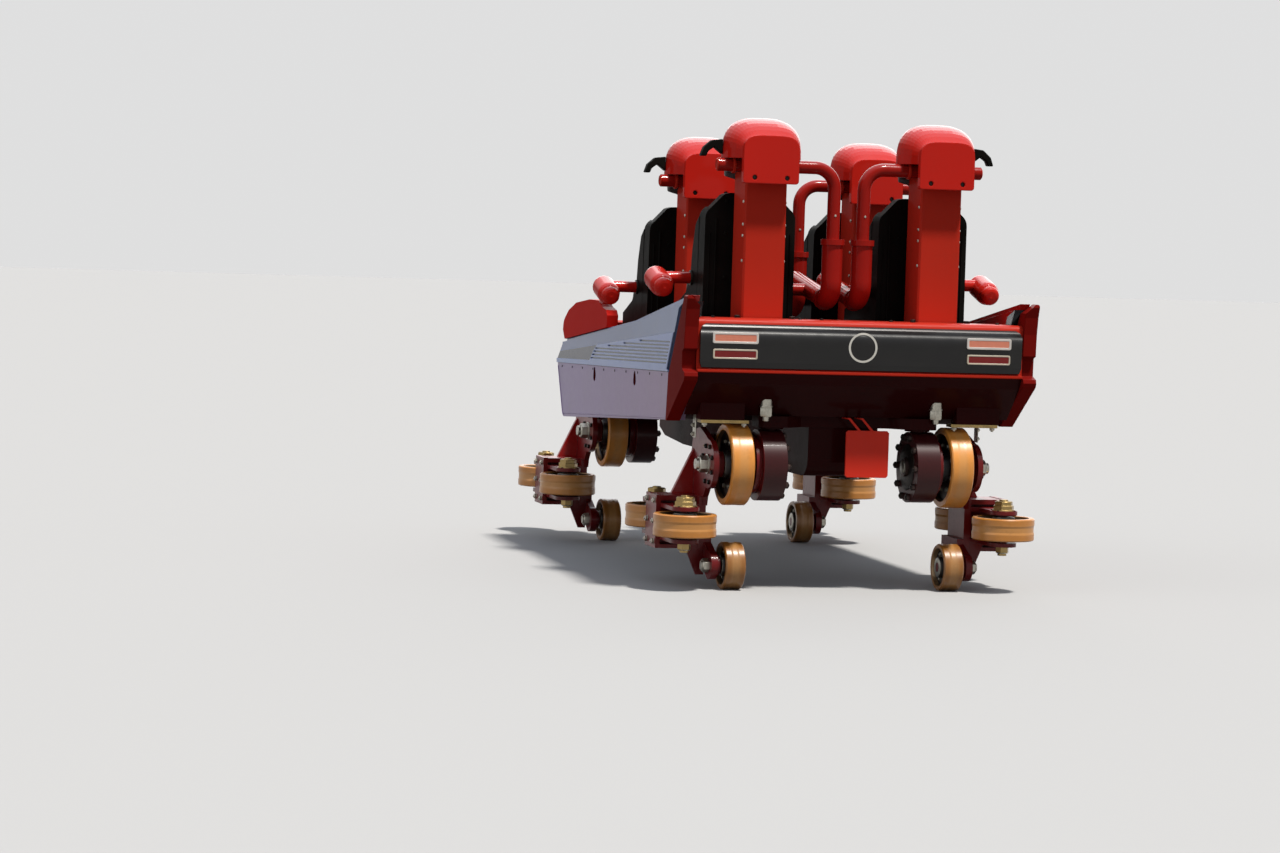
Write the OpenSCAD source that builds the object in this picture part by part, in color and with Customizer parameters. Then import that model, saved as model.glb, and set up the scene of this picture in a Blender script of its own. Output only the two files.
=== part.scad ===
// Rear car of a roller coaster train: two rows of two seats on four wheel bogies.
// Frame: +Y is forward, +X is the car's right, +Z is up, millimetres.
// The floor (Z = 0) touches the lowest point of the four up-stop wheels.

/* [Running gear] */
// height of the rail's top above the floor
rail_z = 373; // [373:1:373]
// rear end of the wheel treads, measured from the middle of the car
tail_y = -1530; // [-1530:1:-1530]
// road axle ahead of that plane
road_y = 185; // [183:1:187]
// distance between the axles
wheelbase = 2350; // [2350:1:2350]
// distance of a road wheel from the middle of the car
wheel_x = 505; // [503:1:507]
// road wheel radius
road_r = 180; // [176:1:180]
// road wheel width
road_w = 100; // [80:1:100]
// distance of a guide wheel from the middle of the car
guide_x = 737; // [735:1:739]
// guide wheel radius
guide_r = 140; // [130:1:140]
// guide wheel width
guide_w = 100; // [80:1:100]
// guide wheel centre below the rail's top
guide_drop = 84; // [84:1:84]
// first guide wheel ahead of the treads' rear end
guide_first = 113; // [113:1:113]
// distance between the two guide wheels of a bogie
guide_pitch = 520; // [520:1:520]
// up-stop wheel radius
up_r = 105; // [105:1:105]
// up-stop wheel width
up_w = 90; // [80:1:90]
// road axle radius
pin_r = 25; // [20:1:26]
// kingpin radius
king_r = 30; // [26:1:32]
// distance of a kingpin from the middle of the car
king_x = 340; // [338:1:342]

/* [Body] */
// half width over the tail fins
body_x = 806; // [804:1:815]
// outer face of a side pod
pod_x = 800; // [798:1:800]
// inner face of a side pod
pod_in = 715; // [715:1:740]
// tail fin's inner face
fin_in = 745; // [745:1:760]
// underside of the floor plate above the rail
floor_lo = 400; // [400:1:400]
// top of the floor plate above the rail
floor_hi = 430; // [425:1:430]

/* [Seats] */
// distance between the rows
row_pitch = 1020; // [1020:1:1020]
// how much lower the front row sits
row_drop = 66; // [64:1:68]
// seat centre from the middle of the car
seat_x = 405; // [403:1:407]
// seat shell width
shell_w = 420; // [410:1:424]
// post width
post_w = 190; // [180:1:194]
// radius of the armrest tubes
arm_r = 47; // [44:1:48]

/* [Hidden] */
$fn = 48;
run_gap = 0.05;
guide_pin_r = 20;
ROW = [[0, 0], [row_pitch, -row_drop]];
// front end of the floor
nose = wheelbase + 50;
AXLES = [road_y, wheelbase + road_y];
GUIDES = [guide_first, guide_first + guide_pitch];
SIDE = [-1, 1];
shell_lo = seat_x - shell_w / 2;
shell_hi = seat_x + shell_w / 2;

RED = [0.75, 0.05, 0.05];
DARK = [0.38, 0.03, 0.04];
BLACK = [0.07, 0.07, 0.08];
BLUE = [0.16, 0.25, 0.42];
LIGHT = [0.62, 0.74, 0.90];
PURPLE = [0.50, 0.43, 0.62];
ORANGE = [0.82, 0.46, 0.20];
STEEL = [0.62, 0.62, 0.60];

// positions are given from the rear end of the treads (y) and from the rail's top (z)
function yy(v) = tail_y + v;
function zz(v) = rail_z + v;
function place(pts) = [for (p = pts) [yy(p[0]), zz(p[1])]];
function arc(cx, cy, r, a0, a1, n) = [for (i = [0:n]) [cx + r * cos(a0 + (a1 - a0) * i / n), cy + r * sin(a0 + (a1 - a0) * i / n)]];

// side profile drawn out from x0 to x1
module side(pts, x0, x1) {
  translate([x0, 0, 0]) rotate([90, 0, 90]) linear_extrude(x1 - x0) polygon(place(pts));
}
// rear view outline (x, z) drawn out from y0 to y1
module rear(pts, y0, y1) {
  translate([0, yy(y1), zz(0)]) rotate([90, 0, 0]) linear_extrude(y1 - y0) polygon(pts);
}
// plan outline (x, y) drawn out from z0 to z1
module plan(pts, z0, z1) {
  translate([0, yy(0), zz(z0)]) linear_extrude(z1 - z0) polygon(pts);
}
module block(x0, x1, y0, y1, z0, z1) {
  translate([x0, yy(y0), zz(z0)]) cube([x1 - x0, y1 - y0, z1 - z0]);
}
module xbar(r, x0, x1, y, z, n = 48) {
  translate([x0, yy(y), zz(z)]) rotate([0, 90, 0]) cylinder(r = r, h = x1 - x0, $fn = n);
}
module ybar(r, x, y0, y1, z) {
  translate([x, yy(y1), zz(z)]) rotate([90, 0, 0]) cylinder(r = r, h = y1 - y0);
}
module zbar(r, x, y, z0, z1, n = 48) {
  translate([x, yy(y), zz(z0)]) cylinder(r = r, h = z1 - z0, $fn = n);
}
// bend of a tube round the y axis: a quarter turn leads from +x to +z
module bend(r, rb, turn = 90) {
  rotate([90, 0, 0]) rotate_extrude(angle = turn) translate([rb, 0]) circle(r = r);
}
// arch outline (x, z): half width, springing, top and squareness
function arch(w, zs, zt, e, n = 24) = [for (i = [0:n]) let(a = 180 * i / n)
  [seat_x + w * sign(cos(a)) * pow(abs(cos(a)), 2 / e), zs + (zt - zs) * pow(sin(a), 2 / e)]];
// skin over arches, each given as [y, half width, top, squareness], from a flat bottom
module arch_loft(rows, bottom, spring) {
  rings = [for (q = rows) concat([[seat_x + q[1], bottom]], arch(q[1], spring, q[2], q[3]), [[seat_x - q[1], bottom]])];
  n = len(rings[0]);
  m = len(rows);
  polyhedron(
    points = [for (k = [0:m - 1]) for (v = rings[k]) [v[0], yy(rows[k][0]), zz(v[1])]],
    faces = concat([[for (i = [n - 1:-1:0]) i]], [[for (i = [0:n - 1]) (m - 1) * n + i]],
      [for (k = [0:m - 2]) for (i = [0:n - 1]) let(j = (i + 1) % n) [k * n + i, k * n + j, (k + 1) * n + j]],
      [for (k = [0:m - 2]) for (i = [0:n - 1]) let(j = (i + 1) % n) [k * n + i, (k + 1) * n + j, (k + 1) * n + i]]));
}
module both() {
  children();
  mirror([1, 0, 0]) children();
}
module rows() {
  for (r = ROW) translate([0, r[0], r[1]]) children();
}
module on_side(s) {
  if (s < 0) mirror([1, 0, 0]) children();
  if (s > 0) children();
}

// spine, cross beams under the floor and the four kingpins
module chassis() {
  half = [[160, 5], [200, 5], [285, -75], [395, -75], [412, -55], [412, 55], [395, 75], [285, 80], [200, 150], [160, 150]];
  color(DARK) {
    side(concat([[200, 361.7]], arc(290, 218, 90, 180, 270, 6), [[nose, 128], [nose + 380, 150], [nose + 500, 190],
      [nose + 500, 340], [nose + 460, 352], [nose, 352], [nose, 399.7], [205.4, 399.7], [205.4, 361.7]]), -160, 160);
    for (a = AXLES) {
      plan(concat([for (p = half) [p[0], a + p[1]]], [for (i = [len(half) - 1:-1:0]) [-half[i][0], a + half[i][1]]]), 350, 399.7);
      both() zbar(56, king_x, a, 341, 352);
    }
  }
  color(STEEL) for (a = AXLES) both() zbar(king_r, king_x, a, 200, 352);
}

// floor plate with the lugs and pins of the lap bars
module floor_pan() {
  color(DARK) {
    block(-pod_in + 0.3, pod_in - 0.3, 165, nose, floor_lo, floor_hi);
    both() block(200, pod_in - 0.3, road_y + road_r + 35, road_y + road_r + 65, floor_lo - 34, floor_lo + 1);
  }
  color(STEEL) for (r = ROW) both() {
    for (dx = [-86, 68]) side([[r[0] + 895, floor_hi - 1], [r[0] + 895, 545 + r[1]], [r[0] + 915, 575 + r[1]],
      [r[0] + 955, 575 + r[1]], [r[0] + 975, 545 + r[1]], [r[0] + 975, floor_hi - 1]], seat_x + dx, seat_x + dx + 18);
    xbar(12, seat_x - 80, seat_x + 80, r[0] + 935, 545 + r[1]);
  }
}

// tail tray: deck, rear rim with its lips, inner wall behind the seats
module tail_shell() {
  color(RED) {
    side(concat([[-38, 593], [-46, 596], [-46, 607], [-34, 608], [-34, 790]], arc(-4, 800, 30, 180, 90, 5),
      [[148, 830], [148, 430.3], [133, 430.3], [133, 815], [2, 815], [-18, 797], [-18, 593]]), -pod_in + 0.3, pod_in - 0.3);
    both() side(concat([[-38, 593], [-46, 596], [-46, 607], [-34, 608], [-34, 790]], arc(-4, 800, 30, 180, 96, 5),
      [[-7, 815], [-18, 797], [-18, 593]]), pod_in - 1, fin_in - 0.3);
  }
}
module tail_panel() {
  color(BLACK) intersection() {
    side(concat([[-34.3, 612], [-46, 616], [-52, 640]], arc(-8, 770, 44, 180, 138, 4), [[-34.3, 806]]), -736, 736);
    rear([[-736, 640], [-728, 616], [-716, 609], [716, 609], [728, 616], [736, 640], [736, 776], [728, 794], [710, 806],
      [-710, 806], [-728, 794], [-736, 776]], -70, -30);
  }
  // strip between a fin and the blue panel
  color(BLACK) both() side([[0.76, 898.5], [96.6, 865.8], [262, 589.7], [267.4, 579.5], [215, 580.4]], pod_in, pod_x - 12);
}
// lower rear panel, sloping forward under the tail, with the housings over the wheels
module tail_lower() {
  color(DARK) {
    side([[-38, 592.7], [-18, 592.7], [10, 545], [160, 400.3], [140, 400.3], [-8, 545]], -fin_in + 0.3, fin_in - 0.3);
    both() side([[84, 381], [84, 456], [94, 466], [130, 466], [130, 428], [160, 400.3], [160, 381]], wheel_x - 15, wheel_x + 185);
  }
}
module lamps() {
  color(RED) both() for (z = [654, 724]) rear([[486, z + 6], [674, z + 6], [674, z + 37], [486, z + 37]], -58, -52.3);
}
// sculpted fins at the corners of the tail, each with a recess over a lip
module tail_fins() {
  color(RED) both() intersection() {
    side([[-66, 926], [-70, 912], [-56, 866], [-44, 790], [-40, 694], [-14, 684], [-12, 606], [-54, 592], [-60, 575],
      [-52, 556], [-16, 532], [230, 366], [247.9, 366], [223.6, 579.4], [214.6, 580], [0, 899], [-18, 926]], fin_in, body_x);
    rear([[fin_in, 360], [798, 360], [body_x, 368], [body_x, 920], [800, 927], [790, 927], [fin_in, 884]], -90, 260);
  }
}
module pod_upper() {
  color(BLUE) both() {
    side([[268.2, 579.2], [262.3, 590], [97, 866], [0.4, 899], [nose - 1430, 765], [nose - 8, 630], [nose, 616], [nose + 97, 547],
      [nose + 95, 524.3]], pod_in, pod_x);
    // raised rim inside the top edge
    side([[0.5, 899], [-16.6, 925], [-16, 926], [nose - 1430, 783], [nose - 8, 645], [nose, 616], [nose - 8, 629], [nose - 1430, 764]],
      pod_in + 20, pod_x - 22);
  }
}
// light strip over the seam, with the slotted grille as one piece
module grilles() {
  seam_k = (582 - 522) / (222 - nose - 96);
  color(LIGHT) both() difference() {
    side([[nose + 94, 524], [nose + 98, 545], [1767, 566], [1700, 612], [1620, 645], [160, 757], [262, 593], [222, 583]], pod_x + 0.3, pod_x + 5.5);
    for (i = [0:6]) {
      d = 33 + 15.6 * i;
      y0 = 268 - i * 9.7;
      y1 = i < 4 ? 1745 - 30 * i : 1391 - 310 * (i - 4);
      side([[y0, 583 + seam_k * (y0 - 222) + d], [y1, 583 + seam_k * (y1 - 222) + d], [y1, 590 + seam_k * (y1 - 222) + d],
        [y0, 590 + seam_k * (y0 - 222) + d]], pod_x - 1, pod_x + 8);
    }
  }
}
module pod_lower() {
  color(PURPLE) both() difference() {
    side(concat([[224, 579.7], [248, 369]], arc(nose - 82, 316, 54, 267, 335, 6), [[nose + 88, 518], [nose + 92, 524]]), pod_in, pod_x);
    for (s = [[866, 498], [nose - 726, 479]]) side(concat(arc(s[0], s[1] + 14, 24, 180, 360, 8), [[s[0] + 20, s[1] + 50]],
      arc(s[0], s[1] + 44, 14, 0, 180, 6), [[s[0] - 22, s[1] + 30]]), pod_x - 14, pod_x + 5);
  }
}
// front wings beside the front riders' knees
module fenders() {
  color(RED) both() side(concat([[nose - 9, 645.5], [nose + 2, 648], [nose + 41, 690]], arc(nose - 26, 690, 67, 12, 60, 4),
    [[nose - 75, 790], [nose - 240, 832], [nose - 530, 856], [nose - 720, 856], [nose - 800, 828], [nose - 880, 815], [nose - 910, 790],
    [nose - 900, 732]]), 736, 790);
}
// nose panel that closes the front of the body
module bulkhead() {
  color(RED) side([[nose + 0.3, 400.3], [nose + 52, 400.3], [nose + 86, 540], [nose + 40, 700], [nose - 25, 745], [nose - 48, 735], [nose + 8, 685],
    [nose + 46, 545], [nose + 0.3, 430]],
    -pod_in + 0.3, pod_in - 0.3);
}

module posts() {
  w = post_w / 2;
  color(RED) for (r = ROW) both() {
    translate([0, r[0], 0]) plan([[seat_x - w, 163], [seat_x - w + 8, 155], [seat_x + w - 8, 155], [seat_x + w, 163], [seat_x + w, 337],
      [seat_x + w - 8, 345], [seat_x - w + 8, 345], [seat_x - w, 337]], floor_hi + 0.3, 1470.7 + r[1]);
    for (z = [780, 1140]) block(seat_x - 60, seat_x + 60, r[0] + 344, r[0] + 399.7, z + r[1], z + 90 + r[1]);
  }
}
module shells() {
  color(BLACK) {
    rows() both() difference() {
      union() {
        intersection() {
          block(shell_lo, shell_hi, 400, 510, 660, 1400);
          rear(concat([[shell_lo + 12, 660], [shell_lo, 800]], arc(shell_lo + 62, 1262, 60, 180, 125, 5), arc(shell_lo + 120, 1300, 78, 118, 90, 3),
            arc(shell_hi - 120, 1300, 78, 90, 62, 3), arc(shell_hi - 62, 1262, 60, 55, 0, 5), [[shell_hi, 800], [shell_hi - 12, 660]]), 390, 520);
        }
        side([[505, 1270], [560, 1235], [606, 1120], [625, 1010], [700, 925], [880, 862], [885, 690], [850, 660], [505, 660]], shell_lo, shell_hi);
      }
      block(shell_lo + 30, shell_hi - 30, 470, 950, 760, 1420);
    }
    for (r = ROW) both() block(seat_x - 130, seat_x + 130, r[0] + 430, r[0] + 760, floor_hi + 0.3, 661 + r[1]);
  }
}
module cushions() {
  color(BLACK) rows() both() {
    side([[470.3, 822], [528, 822], [540, 900], [520, 1050], [505, 1330], [470.3, 1330]], shell_lo + 34, shell_hi - 34);
    side([[474, 760.3], [880, 760.3], [884, 800], [860, 822], [620, 812], [528, 818], [474, 821.7]], shell_lo + 34, shell_hi - 34);
  }
}
// headrest: rear plate with an arched top and two bolt recesses, and the domed hood that grows out of it
module headrests() {
  color(RED) rows() both() {
    difference() {
      rear(concat(arc(seat_x + 113, 1434, 14, -90, 0, 4), arch(127, 1530, 1630, 4), arc(seat_x - 113, 1434, 14, 180, 270, 4)), 85, 115);
      for (s = SIDE) ybar(11, seat_x + s * 74, 84, 97, 1446);
    }
    block(seat_x - 60, seat_x + 60, 114, 154.7, 1424, 1529);
    arch_loft([[104, 125, 1626, 3.9], [118, 130, 1640, 3.7], [132, 138, 1655, 3.5], [152, 149, 1671, 3.3], [178, 159, 1685, 3.2], [208, 168, 1697, 3.1],
      [240, 174, 1706, 3], [270, 176, 1710, 3], [290, 175, 1708, 3], [300, 170, 1702, 3]], 1529.3, 1530);
  }
}
// head pads and back plates in front of the hoods, with the strap guides beside them
module head_pads() {
  color(BLACK) rows() both() {
    intersection() {
      rear(concat([[seat_x - 80, 1330], [seat_x + 80, 1330], [seat_x + 90, 1430], [seat_x + 150, 1450]], arc(seat_x + 55, 1600, 95, 0, 90, 6),
        arc(seat_x - 55, 1600, 95, 90, 180, 6), [[seat_x - 150, 1450], [seat_x - 90, 1430]]), 300.3, 380);
      side([[300.3, 1471.2], [300.3, 1700], [330, 1690], [366, 1640], [374, 1560], [372, 1330], [345.3, 1330], [345.3, 1471.2]], 0, 700);
    }
    rear([[seat_x + 176.3, 1545], [seat_x + 176.3, 1612], [seat_x + 226, 1606], [seat_x + 262, 1574], [seat_x + 274, 1540],
      [seat_x + 274, 1535], [seat_x + 250, 1535], [seat_x + 242, 1556], [seat_x + 215, 1575]], 258, 298);
  }
}
// tubes that run through the headrest and down beside the seat to the inner armrest
module roll_tubes() {
  rise = 9;
  color(RED) rows() both() {
    xbar(29, 160, shell_hi - 6, 235, 1500);
    translate([160, yy(235), zz(1409)]) mirror([1, 0, 0]) bend(29, 91);
    zbar(29, 69, 235, 1180, 1409);
    zbar(53, 69, 235, 1160, 1186);
    zbar(46, 69, 235, 997, 1165);
    translate([69, yy(235 + 80), zz(997)]) rotate([0, 0, -90]) mirror([0, 0, 1]) bend(46, 80, 90 + rise);
    translate([69, yy(315 + 80 * sin(rise)), zz(997 - 80 * cos(rise))]) rotate([rise, 0, 0]) {
      translate([0, -6, 0]) rotate([-90, 0, 0]) cylinder(r = 50, h = 18);
      translate([0, -18, 0]) rotate([-90, 0, 0]) cylinder(r = 42, h = 488);
      translate([0, 470, 0]) sphere(r = 42);
    }
    xbar(28, 69, shell_lo - 0.3, 550, 953);
  }
}
// outer armrest: short padded drum with a round end cap, tilted up to the front
module armrests() {
  color(RED) rows() both() {
    translate([770, yy(500), zz(949)]) rotate([15, 0, 0]) {
      rotate([-90, 0, 0]) rotate_extrude() polygon(concat([[0, -24], [26, -22], [36, -17], [42, -8], [arm_r - 3, 0], [arm_r - 3, 14], [arm_r, 16],
        [arm_r + 6, 32], [arm_r + 7, 44]], [for (i = [0:6]) [(arm_r + 7) * cos(15 * i), 150 + 40 * sin(15 * i)]]));
    }
    xbar(27, shell_hi + 0.3, 760, 612, 992);
  }
}
// square sensor plate on two thin arms under the tail
module flag_plate() {
  color(RED) {
    rear([[-17, 145], [-8, 136], [172, 136], [181, 145], [181, 335], [172, 344], [-8, 344], [-17, 335]], 95, 105);
    for (x = [-12, 47]) {
      rear([[x, 399], [x + 12, 399], [x + 70, 336], [x + 56, 336]], 96, 105);
      block(x, x + 12, 96, road_y + 4.7, 393, 399);
    }
  }
}
module coupler() {
  color(STEEL) difference() {
    union() {
      block(-45, 45, nose + 500.3, nose + 675, 210, 290);
      zbar(55, 0, nose + 675, 210, 290);
    }
    zbar(20, 0, nose + 675, 200, 300);
  }
}

// one bogie, drawn for the right side of the rear axle
module bogie_frame() {
  ry = road_y;
  up_z = up_r - rail_z;
  color(DARK) difference() {
    union() {
      // round pivot housing with its ring of bolts
      xbar(158, king_x - 40, 407, ry, road_r);
      xbar(42, king_x - 60, king_x - 39, ry, road_r);
      for (i = [0:9]) xbar(15, king_x - 53, king_x - 39, ry + 138 * cos(36 * i), road_r + 138 * sin(36 * i), 6);
      // inner cheek, round at the road axle
      xbar(122, 406, 431, ry, road_r);
      side([[ry, 302], [ry + 150, 325], [450, 300], [480, 250], [484, 110], [462, 62], [ry + 150, 35], [ry, 58]], 406, 431);
      xbar(58, 430, 449, ry, road_r);
      // outer cheek with its round end and high front
      xbar(108, 598, 622, ry, road_r);
      side([[ry, 288], [270, 316], [340, 334], [410, 322], [455, 288], [486, 190], [486, -10], [262, -10], [250, 30], [ry + 20, 74]], 598, 622);
      xbar(58, 561, 599, ry, road_r);
      // bridge between the cheeks, ahead of the road wheel
      block(430, 599, 376, 392, 75, 300);
      block(430, 599, 440, 458, 75, 300);
      block(430, 599, 376, 458, 285, 300);
      // slanted gusset down to the guide wheel carrier
      rear([[621, 235], [640, 200], [722, 29], [621, 29]], 428, 452);
      // guide wheel carrier: inner wall, outboard plate, web and the two fork plates
      block(604, 636, 262, 484, -205, 30);
      block(800, 822, 300, 486, -205, 32);
      block(635, 801, 300, 484, 8, 30);
      block(635, 801, 362, 386, -200, 20);
      for (z = [-22, -165]) {
        block(675, 799, guide_first, GUIDES[1], z, z + 18);
        for (g = GUIDES) zbar(62, guide_x, g, z, z + 18);
        block(635, 801, 264, 482, z, z + 18);
      }
      block(635, 801, 300, 484, -205, -187);
      // bracket of the up-stop wheel with its round lug, and the rib outside it
      side([[484, -147], [484, -205], [400, -236], [ry + 44, up_z - 44], [ry - 40, up_z - 46], [ry - 58, up_z], [ry - 40, up_z + 46],
        [262, -172], [262, -147]], 575, 606);
      xbar(62, 575, 606, ry, up_z);
      rear([[605, -164], [700, -164], [690, -200], [640, -318], [605, -318]], 266, 284);
      xbar(46, 560, 576, ry, up_z);
    }
    zbar(king_r + run_gap, king_x, ry, 194, 345);
  }
  color(STEEL) {
    xbar(pin_r, 440, 678, ry, road_r);
    xbar(44, 621, 628, ry, road_r);
    xbar(38, 627, 661, ry, road_r, 6);
    for (g = GUIDES) {
      zbar(guide_pin_r, guide_x, g, -206, 44);
      zbar(52, guide_x, g, -5, 1);
      zbar(48, guide_x, g, 0, 20, 6);
      zbar(42, guide_x, g, 19, 36, 6);
      zbar(30, guide_x, g, -192, -164, 6);
    }
    xbar(guide_pin_r, 458, 640, ry, up_z);
    xbar(32, 605, 632, ry, up_z, 6);
  }
}

// wheel with hub, dished web and cast tread, axis along z, centred
module wheel(r, w, bore, hub, rim, groove) {
  h = w / 2;
  rotate_extrude() polygon([[bore + run_gap, -h], [hub, -h], [hub + 4, -h + 22], [rim - 6, -h + 22], [rim, -h + 4], [rim + 3, -h], [r - 5, -h],
    [r, -h + 5], [r, -h * 0.4], [r - groove, -h * 0.2], [r - groove, h * 0.2], [r, h * 0.4], [r, h - 5], [r - 5, h], [rim + 3, h], [rim, h - 4],
    [rim - 6, h - 22], [hub + 4, h - 22], [hub, h], [bore + run_gap, h]]);
}
module road_wheel() {
  color(ORANGE) translate([wheel_x, yy(road_y), zz(road_r)]) rotate([0, 90, 0]) wheel(road_r, road_w, pin_r, 60, 150, 0.6);
}
module guide_wheel() {
  color(ORANGE) translate([guide_x, yy(guide_first), zz(-guide_drop)]) wheel(guide_r, guide_w, guide_pin_r, 52, 114, 2.5);
}
module up_wheel() {
  color(ORANGE) translate([wheel_x, yy(road_y), up_r]) rotate([0, 90, 0]) wheel(up_r, up_w, guide_pin_r, 46, 84, 1.5);
}
// one lap bar, drawn for the right seat of the rear row
module lap_bar() {
  color(BLACK) difference() {
    union() {
      side([[915, 515], [955, 515], [960, 620], [950, 800], [830, 985], [796, 985], [786, 950], [908, 790], [916, 620]], seat_x - 22, seat_x + 22);
      xbar(42, seat_x - 165, seat_x + 165, 806, 942);
      xbar(28, seat_x - 60, seat_x + 60, 935, 545);
      for (s = SIDE) translate([s * 92, 0, 0]) {
        side([[800, 960], [812, 960], [852, 1060], [900, 1072], [914, 1040], [850, 950], [826, 940], [826, 925], [860, 930], [930, 1036], [908, 1092], [840, 1078]],
          seat_x - 12, seat_x + 12);
      }
    }
    xbar(12 + run_gap, seat_x - 70, seat_x + 70, 935, 545);
  }
}

chassis();
floor_pan();
tail_shell();
tail_panel();
tail_lower();
lamps();
tail_fins();
pod_upper();
grilles();
pod_lower();
fenders();
bulkhead();
posts();
shells();
cushions();
headrests();
head_pads();
roll_tubes();
armrests();
flag_plate();
coupler();
on_side(-1) bogie_frame();  // bogie_rl
on_side(1) bogie_frame();  // bogie_rr
translate([0, wheelbase, 0]) on_side(-1) bogie_frame();  // bogie_fl
translate([0, wheelbase, 0]) on_side(1) bogie_frame();  // bogie_fr
on_side(-1) road_wheel();  // road_rl
on_side(1) road_wheel();  // road_rr
translate([0, wheelbase, 0]) on_side(-1) road_wheel();  // road_fl
translate([0, wheelbase, 0]) on_side(1) road_wheel();  // road_fr
on_side(-1) guide_wheel();  // guide_rl_a
translate([0, guide_pitch, 0]) on_side(-1) guide_wheel();  // guide_rl_b
on_side(1) guide_wheel();  // guide_rr_a
translate([0, guide_pitch, 0]) on_side(1) guide_wheel();  // guide_rr_b
translate([0, wheelbase, 0]) on_side(-1) guide_wheel();  // guide_fl_a
translate([0, wheelbase + guide_pitch, 0]) on_side(-1) guide_wheel();  // guide_fl_b
translate([0, wheelbase, 0]) on_side(1) guide_wheel();  // guide_fr_a
translate([0, wheelbase + guide_pitch, 0]) on_side(1) guide_wheel();  // guide_fr_b
on_side(-1) up_wheel();  // up_rl
on_side(1) up_wheel();  // up_rr
translate([0, wheelbase, 0]) on_side(-1) up_wheel();  // up_fl
translate([0, wheelbase, 0]) on_side(1) up_wheel();  // up_fr
on_side(-1) lap_bar();  // lap_rl
on_side(1) lap_bar();  // lap_rr
translate([0, row_pitch, -row_drop]) on_side(-1) lap_bar();  // lap_fl
translate([0, row_pitch, -row_drop]) on_side(1) lap_bar();  // lap_fr
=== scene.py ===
# Looks of the roller coaster car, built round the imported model
import math

import bmesh
import bpy
from mathutils import Matrix, Vector


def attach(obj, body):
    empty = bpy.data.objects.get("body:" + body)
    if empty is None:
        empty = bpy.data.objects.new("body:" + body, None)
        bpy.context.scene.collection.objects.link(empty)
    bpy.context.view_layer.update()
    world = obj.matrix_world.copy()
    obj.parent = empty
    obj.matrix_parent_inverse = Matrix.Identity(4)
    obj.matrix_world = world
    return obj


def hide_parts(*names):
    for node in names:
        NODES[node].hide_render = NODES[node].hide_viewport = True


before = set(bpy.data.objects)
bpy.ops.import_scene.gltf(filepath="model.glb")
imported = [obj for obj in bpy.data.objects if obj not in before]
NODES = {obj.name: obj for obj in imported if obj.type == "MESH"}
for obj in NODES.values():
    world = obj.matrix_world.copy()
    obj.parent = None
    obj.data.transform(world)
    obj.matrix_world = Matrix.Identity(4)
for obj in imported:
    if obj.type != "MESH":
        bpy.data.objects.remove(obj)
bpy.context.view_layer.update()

# Main sizes in metres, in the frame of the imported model. Pairs are (y, z) as at() takes them
RAIL_Z = 0.373
TAIL_Y = -1.530
ROAD_Y = 0.185
WHEELBASE = 2.350
NOSE = 2.400
WHEEL_X = 0.505
ROAD_R = 0.180
GUIDE_X = 0.737
GUIDE_R = 0.140
GUIDE_DROP = 0.084
GUIDE_FIRST = 0.113
GUIDE_PITCH = 0.520
UP_R = 0.105
UP_Z = UP_R - RAIL_Z
SEAT_X = 0.405
ROW_PITCH = 1.020
ROW_DROP = 0.066
SHELL_W = 0.420
POD_X = 0.800
FLOOR_HI = 0.430
SILL = 0.3998
TUBE = (0.235, 1.500)
ROLLER = (0.806, 0.942)
PIVOT = (0.935, 0.545)

ENDS = {"rl": (-1, 0.0), "rr": (1, 0.0), "fl": (-1, WHEELBASE), "fr": (1, WHEELBASE)}
SEATS = {
    "rl": (-1, 0.0, 0.0), "rr": (1, 0.0, 0.0),
    "fl": (-1, ROW_PITCH, -ROW_DROP), "fr": (1, ROW_PITCH, -ROW_DROP),
}
GUIDES = {"a": 0.0, "b": GUIDE_PITCH}
SIDES = {"l": -1, "r": 1}

# Camera, worked out from the photograph (1280 x 853)
CAM_PLACE = Vector((-4.705, TAIL_Y - 15.043, RAIL_Z + 1.210))
CAM_YAW = math.radians(13.903)
CAM_PITCH = math.radians(3.175)
CAM_ROLL = -0.0321
CAM_LENS = 100.77


def at(x, y, z):
    """A point given from the rear end of the treads (y) and from the rail's top (z)."""
    return Vector((x, TAIL_Y + y, RAIL_Z + z))


# Colours and materials


def srgb(r, g, b):
    """Linear colour from the usual 0 to 255 values."""
    out = []
    for v in (r, g, b):
        c = v / 255.0
        out.append(c / 12.92 if c <= 0.04045 else ((c + 0.055) / 1.055) ** 2.4)
    return (out[0], out[1], out[2], 1.0)


def shade(c, k):
    return (c[0] * k, c[1] * k, c[2] * k, 1.0)


def colour_ramp(tree, fac, stops):
    """A colour ramp over fac: each stop is a position with a grey value or a colour."""
    n = tree.nodes.new("ShaderNodeValToRGB")
    while len(n.color_ramp.elements) < len(stops):
        n.color_ramp.elements.new(0.5)
    for e, (p, c) in zip(n.color_ramp.elements, stops):
        e.position = p
        e.color = c if isinstance(c, tuple) else (c, c, c, 1.0)
    tree.links.new(fac, n.inputs["Fac"])
    return n.outputs["Color"]


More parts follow.
